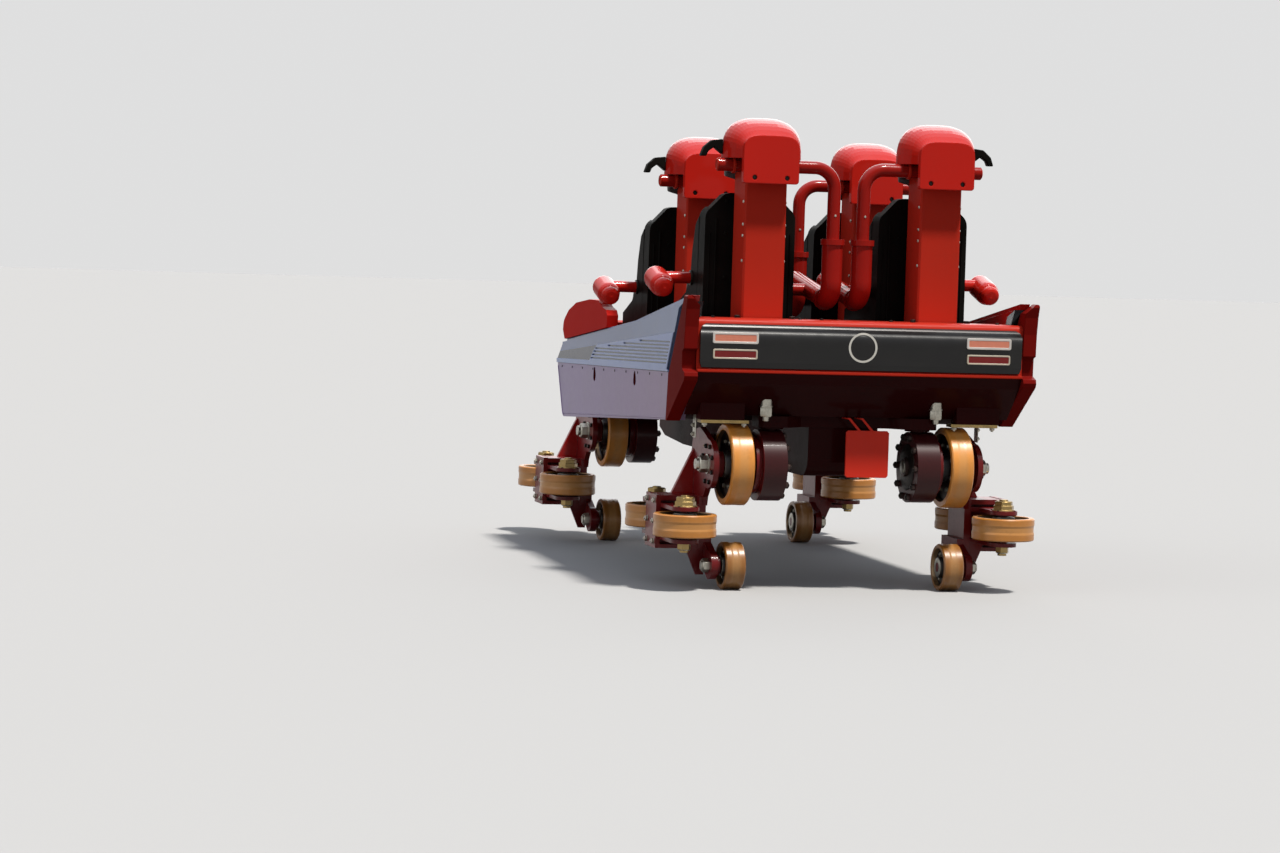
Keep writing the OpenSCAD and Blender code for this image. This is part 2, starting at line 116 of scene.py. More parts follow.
class Mat:
    """A small helper that lays out the nodes of one material."""

    def __init__(self, name):
        self.m = bpy.data.materials.new(name)
        self.m.use_nodes = True
        self.t = self.m.node_tree
        self.bsdf = self.t.nodes["Principled BSDF"]
        self.pos = self.t.nodes.new("ShaderNodeTexCoord").outputs["Object"]
        split = self.t.nodes.new("ShaderNodeSeparateXYZ")
        self.t.links.new(self.pos, split.inputs[0])
        self.xyz = split.outputs

    def set(self, **kw):
        for k, v in kw.items():
            self.bsdf.inputs[k.replace("_", " ")].default_value = v

    def noise(self, scale, detail=4.0, rough=0.55):
        n = self.t.nodes.new("ShaderNodeTexNoise")
        n.inputs["Scale"].default_value = scale
        n.inputs["Detail"].default_value = detail
        n.inputs["Roughness"].default_value = rough
        self.t.links.new(self.pos, n.inputs["Vector"])
        return n.outputs["Fac"]

    def cells(self, scale):
        n = self.t.nodes.new("ShaderNodeTexVoronoi")
        n.inputs["Scale"].default_value = scale
        self.t.links.new(self.pos, n.inputs["Vector"])
        return n.outputs["Distance"]

    def ramp(self, fac, stops):
        return colour_ramp(self.t, fac, stops)

    def patches(self, scale, detail, rough, lo, hi, top=1.0):
        """Noise cut down to patches: 0 below lo, and top above hi."""
        return self.ramp(self.noise(scale, detail, rough), [(lo, 0.0), (hi, top)])

    def mix(self, fac, a, b, blend="MIX"):
        n = self.t.nodes.new("ShaderNodeMix")
        n.data_type = "RGBA"
        n.blend_type = blend
        self.feed(n.inputs[0], fac)
        for i in n.inputs:
            if i.type == "RGBA":
                self.feed(i, a if i.name == "A" else b)
        return [o for o in n.outputs if o.type == "RGBA"][0]

    def feed(self, sock, v):
        if isinstance(v, bpy.types.NodeSocket):
            self.t.links.new(v, sock)
        elif sock.type == "RGBA" and not isinstance(v, tuple):
            sock.default_value = (v, v, v, 1.0)
        else:
            sock.default_value = v

    def math(self, op, a, b=0.0):
        n = self.t.nodes.new("ShaderNodeMath")
        n.operation = op
        self.feed(n.inputs[0], a)
        self.feed(n.inputs[1], b)
        return n.outputs[0]

    def times(self, a, b):
        return self.math("MULTIPLY", a, b)

    def plus(self, a, b):
        return self.math("ADD", a, b)

    def minus(self, a, b):
        return self.math("SUBTRACT", a, b)

    def axis(self, i):
        return self.xyz[i]

    def above(self, value, limit):
        return self.math("GREATER_THAN", value, limit)

    def below(self, value, limit):
        return self.math("LESS_THAN", value, limit)

    def both(self, *masks):
        out = masks[0]
        for other in masks[1:]:
            out = self.times(out, other)
        return out

    def either(self, *masks):
        out = masks[0]
        for other in masks[1:]:
            out = self.math("MAXIMUM", out, other)
        return out

    def from_line(self, axis, centre):
        """Distance from a line along an axis."""
        d = [self.minus(self.axis(i), centre[i]) for i in range(3) if i != axis]
        squares = [self.times(v, v) for v in d]
        return self.math("SQRT", self.plus(*squares))

    def within(self, axis, lo, hi):
        return self.both(self.above(self.axis(axis), lo), self.below(self.axis(axis), hi))

    def side(self):
        """Distance from the middle plane of the car."""
        return self.math("ABSOLUTE", self.axis(0))

    def facing_up(self):
        """0 on walls and undersides, 1 on surfaces that face the sky."""
        geo = self.t.nodes.new("ShaderNodeNewGeometry")
        n = self.t.nodes.new("ShaderNodeSeparateXYZ")
        self.t.links.new(geo.outputs["Normal"], n.inputs[0])
        return self.ramp(n.outputs[2], [(0.25, 0.0), (0.80, 1.0)])

    def soft_edges(self, radius):
        """Rounds the shading over sharp edges."""
        n = self.t.nodes.new("ShaderNodeBevel")
        n.samples = 4
        n.inputs["Radius"].default_value = radius
        self.t.links.new(n.outputs["Normal"], self.bsdf.inputs["Normal"])

    def bump(self, height, strength, distance):
        n = self.t.nodes.new("ShaderNodeBump")
        n.inputs["Strength"].default_value = strength
        n.inputs["Distance"].default_value = distance
        self.t.links.new(height, n.inputs["Height"])
        if self.bsdf.inputs["Normal"].is_linked:
            old = self.bsdf.inputs["Normal"].links[0].from_socket
            self.t.links.new(old, n.inputs["Normal"])
        self.t.links.new(n.outputs["Normal"], self.bsdf.inputs["Normal"])

    def grain(self, scale, detail, rough, strength, distance):
        self.bump(self.noise(scale, detail, rough), strength, distance)

    def link(self, sock, name):
        self.t.links.new(sock, self.bsdf.inputs[name])

    def uneven(self, grain, amount, base):
        """Roughness that varies a little over the surface."""
        self.link(self.plus(self.times(grain, amount), base), "Roughness")


def paint(name, colour, rough, coat, dirt, dirt_colour=srgb(70, 58, 50), peel=0.05, edge=0.004,
          spec=0.22, over=(), sky=False):
    """Sprayed paint: faint orange peel, dust in patches, and other finishes on masked places, some of which
    are painted shade. With sky, only what faces up reflects much, as it does outdoors over dark ground."""
    m = Mat(name)
    patch = m.patches(3.5, 6, 0.62, 0.42, 0.72)
    fine = m.patches(45, 5, 0.6, 0.3, 0.8)
    amount = m.times(m.times(patch, fine), dirt)
    tone = m.mix(m.noise(1.3, 2, 0.5), shade(colour, 0.88), shade(colour, 1.10))
    base = m.mix(amount, tone, dirt_colour)
    r = m.plus(m.times(amount, 0.45), rough)
    r = m.plus(r, m.times(m.noise(220, 2, 0.5), 0.05))
    bare = []
    for mask_of, other, metallic, other_rough in over:
        mask = mask_of(m)
        speck = m.mix(m.noise(60, 4, 0.6), shade(other, 0.72), shade(other, 1.15))
        base = m.mix(mask, base, speck)
        r = m.mix(mask, r, other_rough)
        if metallic > 0:
            bare.append(m.times(mask, metallic))
    if bare:
        m.link(m.either(*bare), "Metallic")
    m.link(base, "Base Color")
    m.link(r, "Roughness")
    m.set(Coat_Weight=coat, Coat_Roughness=0.07, Specular_IOR_Level=spec)
    if sky:
        up = m.facing_up()
        m.link(m.plus(m.times(up, spec), 0.002), "Specular IOR Level")
        m.link(m.plus(m.times(up, coat * 0.75), coat * 0.25), "Coat Weight")
    if edge:
        m.soft_edges(edge)
    m.grain(260, 2, 0.5, peel, 0.0006)
    return m.m


def metal(name, colour, rough, dirt=0.35):
    """Zinc or bare steel with dull patches and fine scratches."""
    m = Mat(name)
    patch = m.patches(28, 6, 0.65, 0.38, 0.7)
    spangle = m.ramp(m.cells(160), [(0.0, 0.85), (0.9, 1.12)])
    tone = m.mix(m.times(patch, dirt), colour, srgb(70, 60, 46))
    m.link(m.mix(1.0, tone, spangle, "MULTIPLY"), "Base Color")
    m.uneven(m.noise(70, 5, 0.6), 0.22, rough - 0.08)
    m.set(Metallic=0.9)
    m.grain(420, 3, 0.6, 0.12, 0.0005)
    return m.m


def plastic(name, colour, rough, grain, strength, coat=0.0, dirt=0.15, edge=0.0, spec=0.4):
    """Moulded plastic with a fine grain and light dust."""
    m = Mat(name)
    patch = m.patches(6, 5, 0.6, 0.4, 0.75)
    m.link(m.mix(m.times(patch, dirt), colour, srgb(92, 86, 78)), "Base Color")
    m.uneven(m.noise(30, 4), 0.16, rough - 0.06)
    m.set(Coat_Weight=coat, Coat_Roughness=0.1, Specular_IOR_Level=spec)
    if edge:
        m.soft_edges(edge)
    m.grain(grain, 3, 0.6, strength, 0.0005)
    return m.m


def vinyl(name, colour):
    """Soft seat cover: pebbled grain with small creases."""
    m = Mat(name)
    patch = m.patches(9, 4, 0.6, 0.35, 0.75)
    m.link(m.mix(m.times(patch, 0.5), shade(colour, 0.8), shade(colour, 1.5)), "Base Color")
    m.uneven(m.noise(40, 4), 0.2, 0.4)
    m.set(Sheen_Weight=0.15, Sheen_Roughness=0.5)
    m.bump(m.ramp(m.cells(420), [(0.0, 1.0), (0.55, 0.0)]), 0.35, 0.0008)
    m.grain(26, 4, 0.6, 0.25, 0.002)
    return m.m


def wheel_look(name, axis, centre, rim, radius, tread_colour):
    """Cast tread round a dark hub: the two meet at the rim's radius, with a machined ring between."""
    m = Mat(name)
    r = m.from_line(axis, centre)
    is_tread = m.above(r, rim)
    is_ring = m.above(r, rim - 0.006)
    is_hub = m.below(r, rim * 0.37)
    rolled = m.above(r, radius - 0.0055)
    along = m.math("ABSOLUTE", m.minus(m.axis(axis), centre[axis]))
    worn = m.ramp(m.plus(along, m.times(m.noise(14, 4), 0.012)), [(0.018, 1.0), (0.034, 0.0)])
    body = m.mix(m.noise(10, 5, 0.6), shade(tread_colour, 0.72), shade(tread_colour, 1.12))
    rubbed = m.mix(m.times(m.times(worn, rolled), 0.30), body, srgb(214, 168, 110))
    spots = m.patches(34, 5, 0.7, 0.56, 0.78, 0.55)
    face = m.mix(m.times(spots, m.minus(1.0, m.times(rolled, 0.7))), rubbed, srgb(72, 44, 26))
    grime = m.patches(24, 5, 0.65, 0.45, 0.8, 0.55)
    web = m.mix(grime, srgb(30, 26, 26), srgb(58, 44, 34))
    web = m.mix(is_hub, web, srgb(70, 64, 58))
    web = m.mix(is_ring, web, srgb(132, 108, 78))
    m.link(m.mix(is_tread, web, face), "Base Color")
    m.uneven(m.noise(50, 4), 0.18, 0.26)
    m.link(m.times(m.either(m.both(is_ring, m.minus(1.0, is_tread)), is_hub), 0.7), "Metallic")
    m.set(Coat_Weight=0.15, Coat_Roughness=0.25)
    m.grain(60, 5, 0.6, 0.12, 0.001)
    return m.m


RED_C = srgb(190, 48, 33)
DEEP_C = srgb(112, 14, 16)
# Dark red of the underside, darkened further as painted shade: it stands for the shadow under the body
UNDER_SHADED_C = srgb(50, 8, 8)
ZINC_C = srgb(176, 172, 160)
GOLD_C = srgb(158, 134, 86)
STEEL_C = srgb(150, 146, 138)

red = paint("red_paint", RED_C, 0.26, 0.10, 0.12, spec=0.15, sky=True)
# Fin paint: the body's red darkened as painted shade
fin_red_shaded = paint("fin_paint", srgb(122, 22, 18), 0.28, 0.0, 0.15, edge=0.007, spec=0.05, sky=True)
hood_red = paint("hood_paint", srgb(202, 36, 26), 0.13, 0.5, 0.10, edge=0.007, spec=0.25, sky=True)
tube_red = paint("tube_paint", srgb(156, 28, 21), 0.16, 0.4, 0.12, spec=0.25, sky=True)
fender_red = paint("fender_paint", srgb(204, 34, 27), 0.4, 0.1, 0.10, spec=0.05, sky=True)
flag_red = paint("flag_paint", srgb(232, 54, 36), 0.45, 0.1, 0.10, spec=0.1)
# Chassis, lower tail and welds: dark red paint darkened as painted shade, with real dust in patches
under_red = paint("under_paint", UNDER_SHADED_C, 0.42, 0.05, 0.6, srgb(26, 20, 18), peel=0.10, spec=0.02)
zinc = metal("zinc", ZINC_C, 0.34)
brass_zinc = metal("yellow_zinc", GOLD_C, 0.34, 0.45)
black_steel = metal("black_steel", srgb(40, 36, 36), 0.45, 0.5)
shell_black = plastic("shell_plastic", srgb(21, 20, 18), 0.38, 700, 0.25, 0.02, 0.06, 0.004, 0.006)
rubber = plastic("black_rubber", srgb(18, 17, 17), 0.6, 500, 0.3)
mat_rubber = plastic("mat_rubber", srgb(30, 30, 31), 0.75, 320, 0.5, dirt=0.35)


def panel_look():
    """The tail panel bulges a little more than its solid: its upper part leans back."""
    m = Mat("black_gloss_bulge")
    rise = m.math("MAXIMUM", m.minus(m.axis(2), RAIL_Z + 0.722), 0.0)
    m.link(m.mix(m.patches(6, 6, 0.6, 0.45, 0.8, 0.12), srgb(14, 12, 11), srgb(60, 56, 52)), "Base Color")
    m.uneven(m.noise(30, 4), 0.10, 0.16)
    m.set(Coat_Weight=0.3, Coat_Roughness=0.24, Specular_IOR_Level=0.2)
    m.bump(m.times(m.times(rise, rise), -7.0), 1.0, 1.0)
    m.grain(240, 2, 0.5, 0.03, 0.0005)
    return m.m


black_bulge = panel_look()
white = plastic("white_plastic", srgb(222, 214, 206), 0.3, 500, 0.06, 0.3, 0.2)
cover = vinyl("seat_vinyl", srgb(24, 23, 24))
# Cream for the lower lamp frames: the frames' white made darker and warmer as painted shade of a darker
# reflection
cream_shaded = plastic("cream_plastic", srgb(208, 194, 172), 0.3, 500, 0.06, 0.3, 0.2)
ring_white = paint("white_ring_paint", srgb(214, 210, 200), 0.35, 0.4, 0.2, edge=0.0)


def fade(name, stops, start, rough, coat, dirt, over=()):
    """Gloss panel of the pods, whose colour runs forward from a place behind."""
    m = Mat(name)
    run = m.math("DIVIDE", m.minus(m.axis(1), TAIL_Y + start), 2.5 - start)
    wobble = m.plus(run, m.times(m.minus(m.noise(2.2, 3), 0.5), 0.22))
    tone = m.ramp(wobble, stops)
    patch = m.patches(5, 6, 0.62, 0.45, 0.75)
    base = m.mix(m.times(patch, dirt), tone, srgb(120, 112, 108))
    for mask_of, other in over:
        base = m.mix(mask_of(m), base, other)
    m.link(base, "Base Color")
    m.uneven(m.noise(38, 5), 0.12, rough - 0.05)
    m.set(Coat_Weight=coat, Coat_Roughness=0.07, Specular_IOR_Level=0.2)
    m.soft_edges(0.004)
    m.grain(240, 2, 0.5, 0.04, 0.0005)
    return m.m


def pod_inside(m):
    return m.below(m.side(), POD_X - 0.0225)


def groove_shade_band(m):
    """The part of the pod's outer face that shows between the grille's bars, which gets a dark navy as
    painted shade in the grooves.
    """
    fall = m.times(m.minus(m.axis(1), TAIL_Y + 0.16), 0.112 / 1.46)
    line = m.minus(RAIL_Z + 0.757, fall)
    return m.both(m.below(m.axis(2), line), m.above(m.side(), POD_X - 0.001))


# Inside the slots of the purple panel, which get a dark red as painted shade of the recess
def slot_inside_shaded(m):
    masks = []
    for y, z in ((0.866, 0.498), (NOSE - 0.726, 0.479)):
        lo, hi = at(0, y - 0.026, z - 0.012), at(0, y + 0.026, z + 0.062)
        masks.append(m.both(m.within(1, lo.y, hi.y), m.within(2, lo.z, hi.z)))
    return m.both(m.either(*masks), m.below(m.side(), POD_X - 0.0006), m.above(m.side(), POD_X - 0.016))


BLUES = [(0.0, srgb(112, 130, 170)), (0.5, srgb(92, 108, 150)), (1.0, srgb(100, 116, 160))]
LIGHT_BLUES = [(0.0, srgb(150, 164, 208)), (1.0, srgb(160, 174, 216))]
PURPLES = [(0.0, srgb(146, 116, 152)), (0.5, srgb(140, 114, 156)), (1.0, srgb(144, 122, 166))]
# Pods: the dark navy between the grille's bars and the dark red inside the panel slots are painted shade;
# the pods' inner face is red
pod_blue = fade("pod_blue", BLUES, 0.0, 0.22, 0.15, 0.10,
                [(groove_shade_band, srgb(24, 32, 60)), (pod_inside, srgb(168, 24, 18))])
light_blue = fade("light_blue", LIGHT_BLUES, 0.0, 0.3, 0.1, 0.15)
purple = fade("pod_purple", PURPLES, 0.2, 0.32, 0.1, 0.15, [(slot_inside_shaded, srgb(84, 16, 20))])


def lamp_look(name, colour, coat):
    """Red lens with the lines of its prisms."""
    m = Mat(name)
    w = m.t.nodes.new("ShaderNodeTexWave")
    w.inputs["Scale"].default_value = 60
    m.t.links.new(m.pos, w.inputs["Vector"])
    m.link(m.mix(w.outputs["Fac"], shade(colour, 0.75), shade(colour, 1.15)), "Base Color")
    m.set(Roughness=0.16, Coat_Weight=coat, Coat_Roughness=0.03)
    m.set(Specular_IOR_Level=0.25, Subsurface_Weight=0.1)
    m.bump(w.outputs["Fac"], 0.4, 0.001)
    return m.m


lamp_upper = lamp_look("lamp_upper", srgb(240, 138, 108), 0.6)
lamp_lower = lamp_look("lamp_lower", srgb(128, 14, 12), 0.2)


def dress(node, mat):
    slots = NODES[node].data.materials
    slots.clear()
    slots.append(mat)


def lap_look(k):
    """Satin black steel with a foam roller on top."""
    s, dy, dz = SEATS[k]
    m = Mat("lap_look_" + k)
    roller = m.below(m.from_line(0, at(0, ROLLER[0] + dy, ROLLER[1] + dz)), 0.0425)
    worn = m.patches(40, 5, 0.65, 0.5, 0.8, 0.6)
    steel_tone = m.mix(worn, srgb(20, 19, 19), srgb(52, 48, 46))
    foam = m.mix(m.noise(30, 4), srgb(20, 20, 21), srgb(36, 35, 36))
    m.link(m.mix(roller, steel_tone, foam), "Base Color")
    m.link(m.mix(roller, 0.34, 0.8), "Roughness")
    m.soft_edges(0.003)
    m.grain(480, 3, 0.6, 0.3, 0.0006)
    return m.m


def bogie_look(k):
    """Dark red casting with bare axles, nuts and pins."""
    s, dy = ENDS[k]
    road = at(s * WHEEL_X, dy + ROAD_Y, ROAD_R)
    up = at(s * WHEEL_X, dy + ROAD_Y, UP_Z)

    def beyond(m, x, mask):
        return m.both(m.above(m.side(), x), mask)

    def axle(m):
        return beyond(m, 0.6225, m.below(m.from_line(0, road), 0.0485))

    def up_pin(m):
        return beyond(m, 0.6065, m.below(m.from_line(0, up), 0.034))

    def studs(m):
        return m.below(m.side(), 0.2998)

    def guides(m):
        lines = [m.from_line(2, at(s * GUIDE_X, dy + GUIDE_FIRST + g, 0)) for g in GUIDES.values()]
        near = m.either(*[m.below(line, 0.0545) for line in lines])
        outside = m.either(m.above(m.axis(2), RAIL_Z - 0.0037), m.below(m.axis(2), RAIL_Z - 0.1655))
        return m.both(near, outside)

    def gusset(m):
        foot = at(0, dy + 0.42, 0.031)
        return beyond(m, 0.6235, m.both(m.within(1, foot.y, foot.y + 0.04), m.above(m.axis(2), foot.z)))

    # The inner drum: the casting's red darkened to near black as painted shade
    def shaded_drum(m):
        return m.below(m.side(), 0.4058)

    over = [(shaded_drum, srgb(58, 12, 13), 0.0, 0.4), (gusset, srgb(158, 24, 20), 0.0, 0.28),
            (studs, srgb(66, 50, 46), 0.5, 0.4), (axle, ZINC_C, 0.85, 0.34), (up_pin, ZINC_C, 0.85, 0.38),
            (guides, GOLD_C, 0.85, 0.34)]
    return paint("bogie_look_" + k, DEEP_C, 0.3, 0.12, 0.55, srgb(40, 30, 26), 0.08, 0.003, over=over)


def pins_on_floor(m):
    return m.above(m.axis(2), RAIL_Z + FLOOR_HI + 0.0006)


def floor_top(m):
    return m.above(m.axis(2), RAIL_Z + FLOOR_HI - 0.001)


# Floor pan: dark red below, darkened as painted shade; its top and pins have their own colours
floor_look = paint("floor_paint", UNDER_SHADED_C, 0.42, 0.15, 0.6, srgb(30, 26, 24), peel=0.10, spec=0.25,
                   over=[(floor_top, srgb(52, 46, 44), 0.0, 0.6), (pins_on_floor, STEEL_C, 0.85, 0.36)])

# Every CAD node gets its finish
LOOKS = {
    "chassis": under_red, "floor_pan": floor_look, "tail_shell": red, "tail_panel": black_bulge,
    "tail_lower": under_red, "lamps": lamp_lower, "tail_fins": fin_red_shaded, "pod_upper": pod_blue,
    "grilles": light_blue, "pod_lower": purple, "fenders": fender_red, "bulkhead": red, "posts": red,
    "shells": shell_black, "cushions": cover, "headrests": hood_red, "head_pads": cover,
    "roll_tubes": tube_red, "armrests": hood_red, "flag_plate": flag_red, "coupler": zinc,
}
for k in ENDS:
    LOOKS["bogie_" + k] = bogie_look(k)
    LOOKS["lap_" + k] = lap_look(k)
for name, look in LOOKS.items():
    dress(name, look)
TREAD = srgb(238, 156, 66)
# Each kind of wheel: axis, radius, rim and tone of the tread, then half width, place of the web, radii of
# pin, cap and ring of screws, and the screws' number and size
WHEELS = {
    "road": (0, ROAD_R, 0.1515, 1.00, 0.050, 0.028, 0.025, 0.056, 0.104, 8, 0.018),
    # The up wheels' tread tone of 0.40 is painted shade: they run in shadow under the rail
    "up": (0, UP_R, 0.0855, 0.40, 0.045, 0.023, 0.020, 0.042, 0.064, 6, 0.012),
    "guide": (2, GUIDE_R, 0.1155, 0.70, 0.050, 0.028, 0.020, 0.048, 0.084, 6, 0.016),
}


def wheels_of(k):
    """Kind, end of the name and middle of the four wheels of one bogie."""
    s, dy = ENDS[k]
    yield "road", k, at(s * WHEEL_X, dy + ROAD_Y, ROAD_R)
    yield "up", k, at(s * WHEEL_X, dy + ROAD_Y, UP_Z)
    for t, g in GUIDES.items():
        yield "guide", "%s_%s" % (k, t), at(s * GUIDE_X, dy + GUIDE_FIRST + g, -GUIDE_DROP)


for k in ENDS:
    for kind, end, middle in wheels_of(k):
        axis, radius, rim, tone = WHEELS[kind][:4]
        look = wheel_look("%s_look_%s" % (kind, end), axis, middle, rim, radius, shade(TREAD, tone))
        dress("%s_%s" % (kind, end), look)


# Mesh helpers


def put(name, data):
    """A new object in the scene."""
    obj = bpy.data.objects.new(name, data)
    bpy.context.scene.collection.objects.link(obj)
    return obj


def mesh_of(bm, name):
    me = bpy.data.meshes.new(name)
    bm.to_mesh(me)
    bm.free()
    return me


def finish_mesh(bm, name, mat, body, smooth=True, bevel=0.0, angle=35.0):
    """An added piece: its mesh, finish and body."""
    bm.normal_update()
    me = mesh_of(bm, name)
    obj = put(name, me)
    if bevel > 0:
        b = obj.modifiers.new("bevel", "BEVEL")
        b.width = bevel
        b.segments = 2
        b.limit_method = "ANGLE"
        b.angle_limit = math.radians(30)
    for p in me.polygons:
        p.use_smooth = smooth
    if smooth:
        me.set_sharp_from_angle(angle=math.radians(angle))
    me.materials.append(mat)
    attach(obj, body)
    return obj


def basis(axis):
    """A frame whose local z points along the axis."""
    z = Vector(axis).normalized()
    x = Vector((0, 0, 1)) if abs(z.z) < 0.9 else Vector((0, 1, 0))
    x = (x - z * x.dot(z)).normalized()
    y = z.cross(x)
    return Matrix((x, y, z)).transposed().to_4x4()


def lathe(bm, profile, place, axis, n, turn=0.0):
    """Turned shape: profile holds (radius, height) pairs along the axis."""
    local = Matrix.Translation(place) @ basis(axis)
    angles = [turn + 2 * math.pi * i / n for i in range(n)]
    rings = []
    for r, h in profile:
        ring = [(r * math.cos(a), r * math.sin(a), h) for a in angles] if r > 0 else [(0, 0, h)]
        rings.append([bm.verts.new(local @ Vector(v)) for v in ring])
    for a, b in zip(rings, rings[1:]):
        for i in range(n):
            j = (i + 1) % n
            if len(a) == 1:
                bm.faces.new((a[0], b[i], b[j]))
            elif len(b) == 1:
                bm.faces.new((a[i], b[0], a[j]))
            else:
                bm.faces.new((a[i], b[i], b[j], a[j]))


def disc(bm, r, height, place, axis, n):
    lathe(bm, [(0, 0), (r, 0), (r, height), (0, height)], place, axis, n)


def collar(bm, inner, outer, crown, height, place, axis, n):
    """A ring whose outer edge slopes in to the crown."""
    lathe(bm, [(inner, 0), (outer, 0), (crown, height), (inner, height)], place, axis, n)


def nut(bm, place, axis, across, height, turn=0.3, thread=0.0, washer=0.0):
    """Hexagon nut or bolt head with chamfered corners, its washer and the thread's end."""
    r = across / 2 / math.cos(math.pi / 6)
    base = 0.0
    if washer:
        base = height * 0.14
        disc(bm, washer, base, place, axis, 28)
    top = base + height
    lathe(bm, [(0, base), (r * 0.94, base), (r, base + height * 0.12), (r, top - height * 0.16),
               (r * 0.86, top), (0, top)], place, axis, 6, turn)
    if thread:
        t = across * 0.27
        end = top + thread
        lathe(bm, [(t, top - 0.0005), (t, top + thread * 0.8), (t * 0.85, end), (0, end)], place, axis, 20)


def tube_into(bm, pts, radius, n, ripple=0.0):
    """A tube swept along points, with ripples if asked."""
    pts = [Vector(p) for p in pts]
    rings = []
    up = Vector((0, 0, 1))
    for i, p in enumerate(pts):
        d = (pts[min(i + 1, len(pts) - 1)] - pts[max(i - 1, 0)]).normalized()
        side = d.cross(up)
        if side.length < 0.05:
            side = d.cross(Vector((0, 1, 0)))
        side.normalize()
        top = side.cross(d).normalized()
        r = radius - (ripple if i % 2 else 0.0)
        angles = [2 * math.pi * j / n for j in range(n)]
        rings.append([bm.verts.new(p + side * math.cos(a) * r + top * math.sin(a) * r) for a in angles])
    made_faces = []
    for a, b in zip(rings, rings[1:]):
        for j in range(n):
            k = (j + 1) % n
            made_faces.append(bm.faces.new((a[j], a[k], b[k], b[j])))
    made_faces.append(bm.faces.new(rings[0][::-1]))
    made_faces.append(bm.faces.new(rings[-1]))
    bmesh.ops.recalc_face_normals(bm, faces=made_faces)


def tube_path(name, pts, radius, mat):
    bm = bmesh.new()
    tube_into(bm, pts, radius, 8)
    finish_mesh(bm, name, mat, "car", True, 0.0, 60)


def curve_points(ctrl, n):
    """Smooth points through a few control points."""
    ctrl = [Vector(c) for c in ctrl]
    out = []
    segs = len(ctrl) - 1
    for i in range(segs):
        p0 = ctrl[max(i - 1, 0)]
        p1, p2 = ctrl[i], ctrl[i + 1]
        p3 = ctrl[min(i + 2, segs)]
        steps = max(2, n // segs)
        for k in range(steps):
            t = k / steps
            square = 2 * p0 - 5 * p1 + 4 * p2 - p3
            cube = 3 * p1 - p0 - 3 * p2 + p3
            out.append(0.5 * ((2 * p1) + (p2 - p0) * t + square * t * t + cube * t ** 3))
    out.append(ctrl[-1])
    return out


def slab(bm, outline, y0, y1):
    """Rear view outline (x, z) in metres drawn from y0 to y1."""
    a = [bm.verts.new((x, y0, z)) for x, z in outline]
    b = [bm.verts.new((x, y1, z)) for x, z in outline]
    bm.faces.new(a)
    bm.faces.new(b[::-1])
    n = len(outline)
    for i in range(n):
        j = (i + 1) % n
        bm.faces.new((a[i], b[i], b[j], a[j]))
    bmesh.ops.recalc_face_normals(bm, faces=bm.faces[:])


def round_rect(cx, cz, w, h, r):
    """Outline of a rectangle with round corners, in six steps each."""
    pts = []
    for sx, sz, a0 in ((1, 1, 0), (-1, 1, 90), (-1, -1, 180), (1, -1, 270)):
        for i in range(7):
            a = math.radians(a0 + 15 * i)
            pts.append((cx + sx * (w / 2 - r) + r * math.cos(a), cz + sz * (h / 2 - r) + r * math.sin(a)))
    return pts


def closed_band(bm, loops):
    """Faces between closed loops of points, each with the next and the last with the first."""
    rings = [[bm.verts.new(v) for v in loop] for loop in loops]
    n = len(rings[0])
    for a, b in zip(rings, rings[1:] + rings[:1]):
        for i in range(n):
            j = (i + 1) % n
            bm.faces.new((a[i], a[j], b[j], b[i]))
    bmesh.ops.recalc_face_normals(bm, faces=bm.faces[:])


def frame_ring(name, outer, inner, y0, y1, mat):
    """A flat frame between two outlines of the same number of points."""
    bm = bmesh.new()
    round_trip = ((outer, y0), (outer, y1), (inner, y1), (inner, y0))
    closed_band(bm, [[(x, y, z) for x, z in line] for line, y in round_trip])
    finish_mesh(bm, name, mat, "car", True, 0.0012)


def panel_y(z):
    """Rear face of the black tail panel at a height above the rail."""
    if z < 0.640:
        return -0.046 - 0.006 * max(0.0, (z - 0.616) / 0.024)
    if z < 0.770:
        return -0.052
    return -0.008 - math.sqrt(max(0.0, 0.044 ** 2 - (z - 0.770) ** 2))


def tail_ring(height, r_out, r_in):
    """Thin painted ring that follows the panel's curve."""
    bm = bmesh.new()
    loops = []
    for r, lift in ((r_out, 0.0002), (r_out, 0.0012), (r_in, 0.0012), (r_in, 0.0002)):
        loop = []
        for i in range(64):
            a = math.pi * i / 32
            z = height + r * math.sin(a)
            loop.append(at(r * math.cos(a), panel_y(z) - lift, z))
        loops.append(loop)
    closed_band(bm, loops)
    finish_mesh(bm, "tail_ring", ring_white, "car", True, 0.0, 40)


# Tail: lamp frames and lenses, and the blank ring
LAMP_X = 0.580
LAMP_W = 0.188
LAMP_H = 0.031
# The low row's cream frames are painted shade of the same frame that is white in the top row
LAMP_ROWS = {"low": (0.6755, 0.012, cream_shaded, lamp_lower), "top": (0.7455, 0.018, white, lamp_upper)}


def lamp_outline(c, more, r):
    """Outline of a lamp about its middle, larger than the lens by a measure."""
    return round_rect(c.x, c.z, LAMP_W + more, LAMP_H + more, r)


for tag, s in SIDES.items():
    for row, (z, rim, frame_mat, lens_mat) in LAMP_ROWS.items():
        c = at(s * LAMP_X, -0.052, z)
        outer, inner = lamp_outline(c, rim, 0.008), lamp_outline(c, -0.002, 0.004)
        frame_ring("lamp_frame_%s_%s" % (row, tag), outer, inner, c.y - 0.0085, c.y - 0.0003, frame_mat)
        bm = bmesh.new()
        slab(bm, lamp_outline(c, -0.001, 0.004), c.y - 0.0073, c.y - 0.0058)
        finish_mesh(bm, "lens_%s_%s" % (row, tag), lens_mat, "car", True, 0.0006)
tail_ring(0.716, 0.0655, 0.0565)


